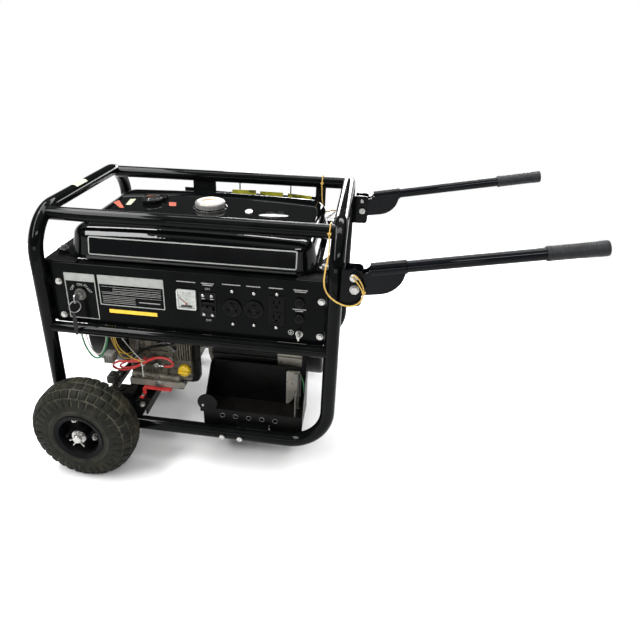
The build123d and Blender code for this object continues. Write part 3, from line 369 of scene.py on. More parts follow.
def add_box(bm, x0, x1, y0, y1, z0, z1, bevel=0.6):
    """Box given in mm from the frame's middle, with rounded edges."""
    c = (M(x0, y0, z0) + M(x1, y1, z1)) / 2
    g = bmesh.ops.create_cube(bm, size=1.0)
    vs = g["verts"]
    for v in vs:
        v.co = Vector((v.co.x * abs(x1 - x0) / 1000, v.co.y * abs(y1 - y0) / 1000, v.co.z * abs(z1 - z0) / 1000)) + c
    if bevel:
        es = list({e for v in vs for e in v.link_edges})
        bmesh.ops.bevel(bm, geom=es, offset=bevel / 1000, segments=2, profile=0.6, affect="EDGES")


def box(name, x0, x1, y0, y1, z0, z1, material, body=ROOT, slot=None, bevel=0.6):
    bm = bmesh.new()
    add_box(bm, x0, x1, y0, y1, z0, z1, bevel)
    return finish_mesh(name, bm, material, body)


def add_prism(bm, pts, normal, height):
    """Closed prism: a flat outline of points, pushed along its normal by height in mm."""
    n = Vector(normal).normalized() * (height / 1000)
    a = [bm.verts.new(p) for p in pts]
    b = [bm.verts.new(p + n) for p in pts]
    bm.faces.new(a)
    bm.faces.new(list(reversed(b)))
    for i in range(len(a)):
        j = (i + 1) % len(a)
        bm.faces.new((a[i], a[j], b[j], b[i]))


def rounded(x0, x1, z0, z1, r, n=6):
    pts = []
    for cx, cz, a0 in ((x1 - r, z1 - r, 0), (x0 + r, z1 - r, 90), (x0 + r, z0 + r, 180), (x1 - r, z0 + r, 270)):
        for i in range(n + 1):
            a = math.radians(a0 + 90 * i / n)
            pts.append((cx + r * math.cos(a), cz + r * math.sin(a)))
    return pts


def add_band(bm, outer, inner, lift):
    """Closed flat ring between two outlines with equal point counts; lift(p, t) places a point at depth t."""
    lo = [bm.verts.new(lift(p, 0.0)) for p in outer]
    li = [bm.verts.new(lift(p, 0.0)) for p in inner]
    ho = [bm.verts.new(lift(p, 1.0)) for p in outer]
    hi = [bm.verts.new(lift(p, 1.0)) for p in inner]
    for i in range(len(outer)):
        j = (i + 1) % len(outer)
        bm.faces.new((ho[i], ho[j], hi[j], hi[i]))
        bm.faces.new((lo[j], lo[i], li[i], li[j]))
        bm.faces.new((lo[i], lo[j], ho[j], ho[i]))
        bm.faces.new((li[j], li[i], hi[i], hi[j]))


def on_panel(p, t):
    return M(p[0], -235.0 - 0.3 * t, p[1])


def panel_patch(bm, pts, y=-235.0, t=0.3):
    add_prism(bm, [M(x, y, z) for x, z in pts], (0, -1, 0), t)


def rect(x0, x1, z0, z1):
    return [(x0, z0), (x1, z0), (x1, z1), (x0, z1)]


def text(name, body_text, size, origin, material, body=ROOT, spin=0.0):
    cu = bpy.data.curves.new(name, "FONT")
    cu.body = body_text
    cu.size = size / 1000
    cu.extrude = 0.00012
    cu.align_x = "CENTER"
    cu.align_y = "CENTER"
    tmp = bpy.data.objects.new(name + "_tmp", cu)
    bpy.context.scene.collection.objects.link(tmp)
    bpy.context.view_layer.update()
    me = bpy.data.meshes.new_from_object(tmp.evaluated_get(bpy.context.evaluated_depsgraph_get()))
    bpy.data.objects.remove(tmp)
    me.name = name
    me.transform(Matrix.Translation(origin) @ Matrix.Rotation(math.radians(spin), 4, "Y") @ Matrix.Rotation(math.pi / 2, 4, "X"))
    me.materials.clear()
    me.materials.append(MAT[material])
    ob = bpy.data.objects.new(name, me)
    bpy.context.scene.collection.objects.link(ob)
    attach(ob, body)
    return ob


# ------------------------------------------------------------------ cords
def nurbs(name, pts, radius, bevel=True):
    cu = bpy.data.curves.new(name, "CURVE")
    cu.dimensions = "3D"
    sp = cu.splines.new("NURBS")
    sp.points.add(len(pts) - 1)
    for p, q in zip(sp.points, pts):
        p.co = (*M(*q), 1)
    sp.order_u = 3
    sp.use_endpoint_u = True
    sp.resolution_u = 10
    if bevel:
        cu.bevel_depth = radius / 1000
        cu.bevel_resolution = 6
        cu.use_fill_caps = True
    ob = bpy.data.objects.new(name, cu)
    bpy.context.scene.collection.objects.link(ob)
    return ob


def spline_line(pts):
    """Points along the route's own smooth line."""
    tmp = nurbs("route_tmp", pts, 1, bevel=False)
    bpy.context.view_layer.update()
    me = bpy.data.meshes.new_from_object(tmp.evaluated_get(bpy.context.evaluated_depsgraph_get()))
    line = [v.co.copy() for v in me.vertices]
    bpy.data.objects.remove(tmp)
    bpy.data.meshes.remove(me)
    return line


def line_length(line):
    return sum((b - a).length for a, b in zip(line, line[1:]))


def wire(name, pts, dia, material, body=ROOT, node=None):
    ob = nurbs(name, pts, dia / 2)
    ob.data.materials.append(MAT[material])
    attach(ob, body)
    if node:
        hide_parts(node)
    line_length(spline_line(pts))
    return ob


def resample(line, step):
    out, left = [line[0]], step
    for a, b in zip(line, line[1:]):
        d = (b - a).length
        while left <= d:
            a = a + (b - a) * (left / d)
            out.append(a)
            d = (b - a).length
            left = step
        left -= d
    return out


def add_strands(bm, line, strands=3, helix=0.98, r=1.02, pitch=8.5, closed=False, segs=8):
    """Twisted strands wound round a line of points, in mm."""
    pts = resample(line, 0.0009) if not closed else line
    n = len(pts)
    frames = []
    x = None
    for i, p in enumerate(pts):
        if closed:
            t = (pts[(i + 1) % n] - pts[i - 1]).normalized()
        else:
            t = (pts[min(i + 1, n - 1)] - pts[max(i - 1, 0)]).normalized()
        if x is None:
            x = basis(t)[0]
        x = (x - t * x.dot(t)).normalized()
        frames.append((p, x.copy(), t.cross(x), t))
    step = (pts[1] - pts[0]).length * 1000
    turns = max(1, round(n * step / pitch)) if closed else n * step / pitch
    for s in range(strands):
        rings = []
        for i, (p, a, b, t) in enumerate(frames):
            th = 2 * math.pi * (s / strands + turns * i / n)
            c = p + (a * math.cos(th) + b * math.sin(th)) * (helix / 1000)
            rings.append([bm.verts.new(c + (a * math.cos(2 * math.pi * k / segs) + b * math.sin(2 * math.pi * k / segs)) * (r / 1000)) for k in range(segs)])
        last = n if closed else n - 1
        for i in range(last):
            A, B = rings[i], rings[(i + 1) % n]
            for k in range(segs):
                m = (k + 1) % segs
                bm.faces.new((A[k], A[m], B[m], B[k]))
        if not closed:
            bm.faces.new(list(reversed(rings[0])))
            bm.faces.new(rings[-1])


def ring_line(centre, axis, rad, n=150, wob=0.0):
    x, y, z = basis(axis)
    return [centre + (x * math.cos(2 * math.pi * i / n) + y * math.sin(2 * math.pi * i / n)) * (rad / 1000)
            + z * (wob / 1000 * math.sin(2 * math.pi * i / n)) for i in range(n)]


def knot(name, centre, body, size=4.6):
    """Overhand knot: a trefoil of twine drawn tight."""
    line = []
    n = 96
    for i in range(n):
        t = 2 * math.pi * i / n
        line.append(centre + Vector((
            (math.sin(t) + 2 * math.sin(2 * t)), -math.sin(3 * t) * 1.1,
            (math.cos(t) - 2 * math.cos(2 * t)))) * (size / 3 / 1000))
    bm = bmesh.new()
    add_strands(bm, line, strands=3, helix=0.85, r=0.95, pitch=8, closed=True, segs=6)
    return finish_mesh(name, bm, "twine", body, 60)


def add_torus(bm, centre, axis, rad, wire_r, n=40, k=10):
    """Closed wire ring, sizes in mm."""
    x, y, z = basis(axis)
    rings = []
    for i in range(n):
        u = 2 * math.pi * i / n
        d = x * math.cos(u) + y * math.sin(u)
        rings.append([bm.verts.new(centre + d * ((rad + wire_r * math.cos(2 * math.pi * j / k)) / 1000)
                                   + z * (wire_r * math.sin(2 * math.pi * j / k) / 1000)) for j in range(k)])
    for i in range(n):
        A, B = rings[i], rings[(i + 1) % n]
        for j in range(k):
            bm.faces.new((A[j], A[(j + 1) % k], B[(j + 1) % k], B[j]))


ROUTE_FRONT = [
    (304, -202.9, 506), (304.5, -206, 488), (306, -218, 472), (305.5, -240, 457),
    (303, -260, 442), (302, -269, 425), (306, -271.5, 408), (317, -273.5, 394),
    (334, -275.5, 384), (353, -277, 379.5), (369, -279, 385.5), (379, -280, 397.5),
    (381.5, -280, 412)]
ROUTE_REAR = [
    (254, 171.1, 506), (254.5, 168.5, 488), (255.5, 170, 470), (257, 172, 453),
    (259.5, 176, 437), (263, 186, 423), (270, 201, 416), (281, 221, 414.5),
    (291, 240, 409.5), (305, 259, 401), (320, 269.5, 394.5), (337, 275.5, 390), (354, 278, 388.5),
    (369, 279.5, 392), (379, 280, 401.5), (381.5, 280, 414)]
for side, s, route, rail_x in (("front", -1, ROUTE_FRONT, 304), ("rear", 1, ROUTE_REAR, 254)):
    line = spline_line(route)
    bm = bmesh.new()
    add_strands(bm, line, helix=0.85, r=0.92)
    cordob = finish_mesh(f"{side}_lanyard_twine", bm, "twine", None, 60)
    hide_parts(f"{side}_lanyard")
    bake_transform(cordob)
    bm = bmesh.new()
    add_strands(bm, ring_line(M(rail_x, s * 187, 501.5), (1, 0, 0), 16.6, wob=0.8), closed=True, segs=6, helix=0.72, r=0.80, pitch=7.0)
    hitch = finish_mesh(f"{side}_lanyard_hitch", bm, "twine", ROOT, 60)
    tie = knot(f"{side}_lanyard_knot", M(rail_x, route[0][1] - 2.0 if s < 0 else route[0][1] - 1.5, 502), ROOT, 2.7)
    # loop through the eye of the pin's head, both ends drawn into the end knot
    bm = bmesh.new()
    add_strands(bm, spline_line([
        (381.0, s * 280.0, 413), (376.5, s * 281.2, 422), (370.0, s * 282.0, 432), (363.5, s * 282.6, 440.5), (358.6, s * 283.2, 446.0),
        (358.4, s * 283.4, 450.2), (362.6, s * 283.2, 450.4), (368.8, s * 282.4, 445.0), (375.4, s * 281.6, 435), (380.6, s * 280.8, 424), (382.0, s * 280.0, 413)]),
        helix=0.72, r=0.80, segs=6, pitch=7.0)
    loop = finish_mesh(f"{side}_lanyard_loop", bm, "twine", f"{side}_pin", 60)
    endknot = knot(f"{side}_lanyard_end_knot", M(381.6, s * 280, 413.5), f"{side}_pin", 2.9)
    bm = bmesh.new()
    add_torus(bm, M(360, s * 281.0, 446.0), (1, 0, 0.4), 3.8, 0.9)
    eye = finish_mesh(f"{side}_pin_eye", bm, "zinc", f"{side}_pin", 60)

RED = [
    (-144, -135, 116), (-144, -155, 116), (-162, -174, 123), (-190, -178, 126),
    (-211, -176, 117), (-223, -167, 101), (-221, -157, 86), (-203, -154, 81),
    (-176, -160, 92), (-152, -166, 108), (-128, -169, 126), (-104, -169, 139),
    (-83, -167, 140), (-68, -163, 129), (-66, -158, 114), (-78, -155, 105), (-95, -154, 105)]
bm = bmesh.new()
add_rod(bm, M(-92, -154, 105), M(-106, -154, 105), 3.6)
add_lathe(bm, [(4.2, -1), (8, -1), (8, 1), (4.2, 1), (4.2, -1)], M(-113, -154, 105), (0, 1, 0), 28)
add_hex(bm, M(-113, -155, 105), (0, -1, 0), 11, 5.5)
add_rod(bm, M(-113, -134, 105), M(-113, -162, 105), 3.0)
lug = finish_mesh("cable_lug", bm, "zinc", ROOT)
wire("battery_cable_red", RED, 5.6, "red", node="battery_cable")

GREEN = [
    (-266, -214, 258), (-266, -214, 236), (-266, -213, 212), (-264.5, -211, 190),
    (-260, -209, 170), (-252, -207, 152), (-240, -206, 144), (-227, -206.5, 152),
    (-217, -208, 170), (-208, -209.5, 192), (-202, -211, 214), (-199, -213, 237), (-199, -213, 258)]
wire("panel_wire_green", GREEN, 4.4, "green", node="panel_wires")
wire("panel_wire_white", [
    (-258, -209, 258), (-258, -209, 232), (-258, -207, 205), (-255, -204, 178),
    (-247, -201, 156), (-236, -200, 151), (-226, -201, 162), (-216, -203, 184), (-208, -206, 210), (-205, -207, 236), (-205, -207, 258)],
     2.6, "wire_w")
for i, pts in enumerate((
    [(-193, -208, 258), (-194, -206, 236), (-196, -198, 208), (-199, -186, 176), (-201, -172, 150), (-200, -165, 132), (-194, -158, 119), (-184, -147, 113), (-176, -134.5, 111)],
    [(-188, -208, 258), (-189, -206, 238), (-192, -197, 210), (-195, -186, 180), (-190, -177, 156), (-174, -171, 137), (-155, -169, 125), (-141, -166, 120), (-128, -155, 117), (-118, -134.5, 115)],
    [(-199, -208, 258), (-200, -206, 238), (-203, -197, 210), (-205, -185, 180), (-204, -174, 156), (-198, -166, 140), (-187, -154, 130), (-178, -134.5, 126)])):
    wire(f"engine_wire_yellow_{i}", pts, 2.4, "wire_y")
wire("engine_wire_white", [
    (-183, -208, 258), (-182, -206, 236), (-178, -196, 208), (-168, -184, 176), (-157, -174, 148), (-146, -168, 127), (-136, -158, 118), (-126, -134.5, 113)], 2.4, "wire_w")
wire("battery_cable_return", [
    (-141, -160, 122), (-158, -169, 127), (-182, -172, 121), (-201, -169, 108), (-206, -161, 95), (-193, -157, 90),
    (-171, -160, 98), (-151, -164, 110), (-136, -163, 121), (-124, -152, 124), (-116, -134.5, 122)], 5.0, "red")
wire("alternator_wire_green", [
    (251, -143.2, 110), (257, -150, 104), (260, -157, 92), (262, -161, 74), (263, -161, 55), (263, -158, 39), (262, -152, 23)], 3.6, "green")
wire("governor_hose", [
    (-186, -134, 108), (-178, -146, 116), (-160, -150, 134), (-134, -150, 152), (-106, -150, 160), (-80, -148, 164), (-66, -134, 166)], 6.0, "hose")

# cable tie round the crossing of the cable
bm = bmesh.new()
x, y, z = basis((0.84, 0.0, 0.54))
ring = []
for i in range(40):
    t = 2 * math.pi * i / 40
    ring.append((M(-141, -167, 117) + y * (0.0052 * math.cos(t)) + x * (0.0078 * math.sin(t))))
prev = None
first = None
for p in ring:
    d = (p - M(-141, -167, 117)).normalized()
    q = [bm.verts.new(p + z * a + d * b) for a, b in ((-0.0013, 0.0), (0.0013, 0.0), (0.0013, 0.001), (-0.0013, 0.001))]
    if prev:
        for k in range(4):
            bm.faces.new((prev[k], prev[(k + 1) % 4], q[(k + 1) % 4], q[k]))
    else:
        first = q
    prev = q
for k in range(4):
    bm.faces.new((prev[k], prev[(k + 1) % 4], first[(k + 1) % 4], first[k]))
add_box(bm, -143.2, -138.8, -176, -171.5, 113, 118, 0.5)
add_box(bm, -142.2, -139.8, -174.6, -173.4, 82, 114, 0.3)
finish_mesh("cable_tie", bm, "tie", ROOT)

# ------------------------------------------------------------------ CAD nodes: finishes
FINISH = {
    "frame": ["left_arch", "right_arch", "front_lower_rail", "rear_lower_rail", "front_top_rail", "rear_top_rail",
              "front_mid_rail", "crossmembers", "support_leg", "handle_brackets"],
    "arm": ["front_handle_arm", "rear_handle_arm"],
    "bracket": ["frame_brackets"],
    "tray": ["battery_tray"],
    "rubber": ["rubber_mounts", "front_handle_grip", "rear_handle_grip"],
    "tyre": ["front_tyre", "rear_tyre"],
    "rim": ["front_rim", "rear_rim"],
    "zinc": ["axle", "axle_retainers", "frame_bolts", "panel_screws", "front_lock_pin", "rear_lock_pin", "earth_terminal"],
    "panel": ["control_panel"],
    "meter": ["voltmeter"],
    "needle": ["voltmeter_needle"],
    "plastic": ["circuit_breakers", "breaker_toggle", "recoil_grip", "air_cleaner", "fuel_gauge"],
    "plastic_dk": ["outlet_sockets", "upper_reset_button", "lower_reset_button"],
    "tank": ["tank_upper_shell"],
    "tank_under": ["tank_lower_shell"],
    "cap": ["fuel_cap"],
    "cast": ["crankcase", "cylinder_head", "bell_housing"],
    "cast_pale": ["alternator_end_bell"],
    "satin": ["fan_shroud", "alternator_end_cover"],
    "heat": ["muffler"],
    "dull_rod": ["key_switch"],
    "steel": ["ignition_key", "crankshaft", "flywheel", "alternator_rotor"],
    "lamination": ["alternator_stator"],
    "oil": ["oil_cap"],
    "twine": ["front_lanyard", "rear_lanyard"],
    "red": ["battery_cable"],
    "green": ["panel_wires"],
}
for key, names in FINISH.items():
    for name in names:
        me = NODES[name].data
        me.materials.clear()
        me.materials.append(MAT[key])


# ------------------------------------------------------------------ tyres
def smooth_profile(ctrl, per=10):
    pts = []
    for i in range(len(ctrl) - 1):
        p0 = ctrl[max(i - 1, 0)]
        p1, p2 = ctrl[i], ctrl[i + 1]
        p3 = ctrl[min(i + 2, len(ctrl) - 1)]
        for k in range(per):
            t = k / per
            pts.append(tuple(0.5 * (2 * b + (c - a) * t + (2 * a - 5 * b + 4 * c - d) * t * t + (3 * b - a - 3 * c + d) * t ** 3)
                             for a, b, c, d in zip(p0, p1, p2, p3)))
    pts.append(ctrl[-1])
    return pts


def step(e, w, s):
    t = min(1.0, max(0.0, (e - w) / s))
    return t * t * (3 - 2 * t)


def tyre(side, s):
    centre = M(-230.5, s * 315, 27.5)
    half = [(52.2, 37.6), (57, 40.2), (65, 42.4), (78, 42.9), (92, 42.6), (103, 40.6),
            (112.5, 35.6), (119, 28.4), (122.8, 19.5), (124.1, 10), (124.4, 0)]
    ctrl = half + [(r, -a) for r, a in reversed(half[:-1])]
    dense = smooth_profile(ctrl, 12)
    acc = [0.0]
    for (r0, a0), (r1, a1) in zip(dense, dense[1:]):
        acc.append(acc[-1] + math.hypot(r1 - r0, a1 - a0))
    total = acc[-1]
    lead = 33.0                       # bare wall from bead to the first lugs, in mm
    rows = 6
    pitch = (total - 2 * lead) / rows
    blocks = 34
    stations = []
    for i in range(13):
        stations.append(lead * i / 13)
    for r in range(rows):
        for f in (0, 0.05, 0.10, 0.15, 0.21, 0.34, 0.5, 0.66, 0.79, 0.85, 0.90, 0.95):
            stations.append(lead + (r + f) * pitch)
    for i in range(14):
        stations.append(total - lead + lead * i / 13)
    us = []
    for b in range(blocks * 2):
        for f in (0, 0.09, 0.18, 0.27, 0.38, 0.5, 0.62, 0.73, 0.82, 0.91):
            us.append((b + f) / (blocks * 2))

    def locate(q):
        for i in range(len(acc) - 1):
            if acc[i + 1] >= q - 1e-9:
                t = (q - acc[i]) / max(1e-9, acc[i + 1] - acc[i])
                (r0, a0), (r1, a1) = dense[i], dense[i + 1]
                d = math.hypot(r1 - r0, a1 - a0)
                return r0 + (r1 - r0) * t, a0 + (a1 - a0) * t, -(a1 - a0) / d, (r1 - r0) / d
        return (*dense[-1], 0.0, -1.0)
    bm = bmesh.new()
    worn = bm.verts.layers.float.new("groove")
    lugs = random.Random(11)
    lean = [[lugs.uniform(-0.06, 0.06) for _ in range(blocks)] for _ in range(rows)]
    grid = []
    for q in stations:
        r, a, nr, na = locate(q)
        row = (q - lead) / pitch
        ring = []
        for u in us:
            h = 0.0
            dirt = 0.0
            if -0.02 <= row <= rows + 0.02:
                ri = min(rows - 1, max(0, int(row)))
                f = (row - ri) * pitch
                shift = 0.25 if ri % 2 else 0.0
                blk = (u * blocks + shift) % 1.0
                arc = blk * 2 * math.pi * r / blocks
                w = 2 * math.pi * r / blocks
                e_u = min(arc, w - arc)
                e_v = min(f, pitch - f)
                edge_row = ri in (0, rows - 1)
                if ri == 0:
                    e_v = pitch - f
                if ri == rows - 1:
                    e_v = f
                depth = 3.4 if not edge_row else 3.0
                fade = 1.0
                if ri == 0:
                    fade = step(f, 0.0, 4.0)
                if ri == rows - 1:
                    fade = step(pitch - f, 0.0, 4.0)
                # corners of each lug are rounded: the nearer both edges, the deeper
                top = step(e_u, 0.7, 2.4) * step(e_v, 0.7, 2.4)
                crown = 0.5 * step(e_u, 1.5, w * 0.35) * step(e_v, 1.5, pitch * 0.35)
                which = int(u * blocks + shift) % blocks
                h = (-depth * (1 - top) - 0.5 + crown + 4 * lean[ri][which] * top) * fade
                h = min(0.0, h)
                dirt = (1 - step(min(e_u, e_v), 0.5, 1.6)) * fade
            elif abs(r - 70) < 1.6 or abs(r - 63) < 1.2:
                h = -0.7
                dirt = 0.25
            th = 2 * math.pi * u
            rr = r + nr * h
            aa = a + na * h
            vert = bm.verts.new(centre + Vector((rr * math.cos(th), aa * -s, rr * math.sin(th))) / 1000)
            vert[worn] = dirt
            ring.append(vert)
        grid.append(ring)
    n = len(us)
    for A, B in zip(grid + [grid[-1]], grid[1:] + [grid[0]]):
        if A is B:
            continue
        for k in range(n):
            m = (k + 1) % n
            bm.faces.new((A[k], A[m], B[m], B[k]))
    A, B = grid[-1], grid[0]
    ob = finish_mesh(f"{side}_lug_tyre", bm, "tyre", f"{side}_wheel", 50)
    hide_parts(f"{side}_tyre")
    return ob


for side, s in (("front", -1), ("rear", 1)):
    tyre(side, s)
    bm = bmesh.new()
    for a in (45, 135, 225, 315):
        t = math.radians(a)
        for face in (-1, 1):
            p = M(-230.5 + 32 * math.cos(t), s * 315 + face * 5.05, 27.5 + 32 * math.sin(t))
            add_hex(bm, p, (0, face, 0), 12.4, 7.6, washer=8.2)
            add_rod(bm, p + Vector((0, face * 0.006, 0)), p + Vector((0, face * 0.0115, 0)), 3.2, 16)
    finish_mesh(f"{side}_rim_nuts", bm, "zinc", f"{side}_wheel", 30)
    # valve stem through the rim
    t = math.radians(200)
    p = M(-230.5 + 40 * math.cos(t), s * 319, 27.5 + 40 * math.sin(t))
    lathe(f"{side}_valve", [(0, 0), (4.2, 0), (4.2, 2), (2.9, 5), (2.6, 14), (3.3, 15), (3.3, 22), (2.4, 23.5), (0, 23.5)],
          p, (0, s, 0), "rubber", f"{side}_wheel", 24)
    # legs of the split pin, spread below the axle's end
    bm = bmesh.new()
    for sg in (-1, 1):
        p = M(-230.5 + sg * 3.0, s * 358.5, 27.5 - 8.0)
        add_rod(bm, p, p + Vector((sg * 0.0105, s * 0.001, -0.0125)), 1.6, 14)
        add_rod(bm, p + Vector((-sg * 0.003, 0, 0.003)), p + Vector((sg * 0.001, 0, -0.001)), 1.6, 14)
    add_torus(bm, M(-230.5, s * 358.5, 27.5 + 14.0), (0, 1, 0), 4.0, 1.5)
    finish_mesh(f"{side}_pin_legs", bm, "zinc", ROOT)
    # hub tube between the rim's plate and the nut, in a grey lighter than its real black: painted sheen standing in for
    # the tube's highlights
    lathe(f"{side}_hub_sleeve", [(12.5, 0), (15.2, 0), (16.0, 1.0), (16.0, 24.0), (15.0, 25.5), (12.5, 25.5), (12.5, 0)],
          M(-230.5, s * 322.0, 27.5), (0, s, 0), "grime_and_sheen", f"{side}_wheel", 48)
    # turned nut and machined centre on the axle's end
    lathe(f"{side}_axle_collar", [(10.3, 0), (14.6, 0), (14.9, 0.5), (14.9, 3.0), (14.4, 3.5), (10.3, 3.5), (10.3, 0)],
          M(-230.5, s * 353.5, 27.5), (0, s, 0), "zinc", ROOT, 40)

# ------------------------------------------------------------------ handles
tilt = math.radians(10.6)
along = Vector((math.cos(tilt), 0, math.sin(tilt)))
for side, s in (("front", -1), ("rear", 1)):
    base = M(392, s * 252, 452)
    grow = along * -0.0021
    prof = [(12.05, 320.0), (13.2, 320.0), (14.3, 320.8), (14.5, 322.5), (14.5, 327.0), (13.9, 328.5)]
    h = 330.0
    while h < 404.0:
        prof += [(13.75, h), (14.15, h + 0.8), (14.15, h + 2.2), (13.75, h + 3.0)]
        h += 4.6
    prof += [(13.9, 406.0), (14.5, 408.0), (14.5, 421.0), (14.2, 423.0), (13.2, 424.6), (11.0, 425.1), (6.0, 425.2), (5.4, 424.4), (0, 424.4)]

    def flats(t, r, h):
        return -0.25 * (0.5 + 0.5 * math.cos(8 * t)) if 329 < h < 405 and r < 13.9 else 0.0
    g = lathe(f"{side}_ribbed_grip", prof, base + grow, along, "rubber", f"{side}_handle", 64, flats, 40)
    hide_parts(f"{side}_handle_grip")
    # weld bead round the front of the saddle sleeve
    bm = bmesh.new()
    add_lathe(bm, [(12.0, 66.6), (14.6, 66.6), (14.4, 68.0), (13.3, 69.2), (12.0, 69.6)], base, along, 72,
              lambda t, r, h: 0.22 * math.sin(18 * t) if h > 67 else 0.0)
    finish_mesh(f"{side}_sleeve_weld", bm, "frame", f"{side}_handle", 60)
    # rounded cap on the pin's head
    lathe(f"{side}_pin_cap", [(0, 0), (7.6, 0), (8.0, 0.6), (8.0, 3.0), (7.4, 3.8), (4.0, 4.4), (0, 4.5)],
          M(360, s * (252 + 22), 442), (0, s, 0), "zinc", f"{side}_pin", 40)

# ------------------------------------------------------------------ control panel prints and fittings
bm = bmesh.new()
add_band(bm, rounded(-273.5, -201.5, 271.5, 383.5, 2), rounded(-271.5, -203.5, 273.5, 381.5, 1), on_panel)
panel_patch(bm, rect(-271.7, -203.3, 364.5, 381.7))
add_band(bm, rounded(-195, -44.5, 311, 384, 2), rounded(-193, -46.5, 313, 382, 1), on_panel)
panel_patch(bm, rect(-193.2, -46.3, 362.5, 382.2))
finish_mesh("panel_borders", bm, "white", ROOT, 20)
bm = bmesh.new()
for zz, a, b in ((352, -163, -52), (347, -163, -52), (340, -188, -52), (331, -188, -112), (326.5, -188, -112), (322, -188, -112), (318, -188, -112)):
    panel_patch(bm, rect(a, b, zz - 0.5, zz + 0.5), t=0.25)
for zz in (357, 343.5, 334.6):
    panel_patch(bm, rect(-189, -51, zz - 0.35, zz + 0.35), t=0.25)
panel_patch(bm, rect(-104, -55, 323, 325.2), t=0.25)
finish_mesh("panel_plate_lines", bm, "grey", ROOT, 20)
bm = bmesh.new()
panel_patch(bm, rounded(-176, -64, 292.5, 301.5, 1.2, 3))
finish_mesh("panel_yellow_bar", bm, "yellow", ROOT, 20)
bm = bmesh.new()
for xa, xb, zz in ((-14, 28, 384.5), (40, 68, 384.5), (43, 65, 380.5), (86, 126, 386), (138, 168, 386), (186, 216, 386.5),
                   (238, 268, 386.5), (241, 265, 382.5), (238, 266, 341.5), (243, 260, 337.5)):
    panel_patch(bm, rect(xa, xb, zz - 1.0, zz + 1.0), t=0.25)
finish_mesh("panel_label_bars", bm, "grey", ROOT, 20)
text("panel_on", "ON", 7.0, M(53.5, -235.25, 371.5), "white")
text("panel_off", "OFF", 7.0, M(53.5, -235.25, 295.5), "white")
for word, a in (("OFF", -52), ("ON", 0), ("START", 52)):
    t = math.radians(a)
    text(f"key_mark_{word.lower()}", word, 8.5, M(-239 + 23 * math.sin(t), -235.25, 333 + 23 * math.cos(t)), "white", spin=a)
# earth symbol
bm = bmesh.new()
ring_o = [(235 + 6.2 * math.cos(2 * math.pi * i / 40), 284.5 + 6.2 * math.sin(2 * math.pi * i / 40)) for i in range(40)]
ring_i = [(235 + 5.0 * math.cos(2 * math.pi * i / 40), 284.5 + 5.0 * math.sin(2 * math.pi * i / 40)) for i in range(40)]
add_band(bm, ring_o, ring_i, on_panel)
panel_patch(bm, rect(234.4, 235.6, 284.6, 288.6))
panel_patch(bm, rect(231.4, 238.6, 283.5, 284.6))
panel_patch(bm, rect(232.9, 237.1, 281.7, 282.7))
finish_mesh("panel_earth_mark", bm, "white", ROOT, 20)

# voltmeter dial, scale, numerals and lens
bm = bmesh.new()
panel_patch(bm, rounded(-11.8, 24.8, 323.2, 362.8, 1, 3), y=-237.5, t=0.25)
finish_mesh("voltmeter_dial", bm, "dial", ROOT, 20)
bm = bmesh.new()
for i in range(13):
    a = math.radians(-45 + 90 * i / 12)
    L = 4.2 if i % 3 == 0 else 2.4
    d = (math.sin(a), math.cos(a))
    w = (d[1] * 0.22, -d[0] * 0.22)
    c0 = (6.5 + d[0] * 19.5, 333 + d[1] * 19.5)
    c1 = (6.5 + d[0] * (19.5 + L), 333 + d[1] * (19.5 + L))
    panel_patch(bm, [(c0[0] - w[0], c0[1] - w[1]), (c0[0] + w[0], c0[1] + w[1]), (c1[0] + w[0], c1[1] + w[1]), (c1[0] - w[0], c1[1] - w[1])], y=-237.75, t=0.1)
panel_patch(bm, rounded(-6.5, 19.5, 324.3, 330.2, 2.5, 4), y=-237.75, t=0.1)
finish_mesh("voltmeter_scale", bm, "plastic", ROOT, 20)
for i, word in enumerate(("0", "100", "200", "300")):
    a = math.radians(-45 + 30 * i)
    text(f"voltmeter_{word}", word, 3.6, M(6.5 + 26.5 * math.sin(a) * 0.98, -237.85, 333 + 26.5 * math.cos(a)), "plastic", spin=-45 + 30 * i)
text("voltmeter_unit", "V", 6.0, M(6.5, -237.85, 344.0), "plastic")
bm = bmesh.new()
panel_patch(bm, rounded(-11.9, 24.9, 323.1, 362.9, 1, 3), y=-240.1, t=0.7)
finish_mesh("voltmeter_lens", bm, "lens", ROOT, 20)

# key ring and tag hanging from the key
bm = bmesh.new()
ringc = M(-241.5, -263.5, 315)
line = ring_line(ringc, (0.75, -0.6, 0.1), 13, n=60)
rings = []
for i, p in enumerate(line):
    d = (p - ringc).normalized()
    t = (line[(i + 1) % 60] - line[i - 1]).normalized()
    b = t.cross(d)
    rings.append([bm.verts.new(p + (d * math.cos(2 * math.pi * k / 8) + b * math.sin(2 * math.pi * k / 8)) * 0.0011) for k in range(8)])
for i in range(60):
    A, B = rings[i], rings[(i + 1) % 60]
    for k in range(8):
        bm.faces.new((A[k], A[(k + 1) % 8], B[(k + 1) % 8], B[k]))
finish_mesh("key_ring", bm, "steel", "key", 60)
bm = bmesh.new()
pts = [(-249.5, 303), (-244, 303), (-240, 272), (-243, 246), (-248, 246), (-251, 272)]
add_prism(bm, [M(x, -263.0 - (303 - zz) * 0.06, zz) for x, zz in pts], (0, -1, 0), 1.6)
finish_mesh("key_tag", bm, "strap", "key", 20)

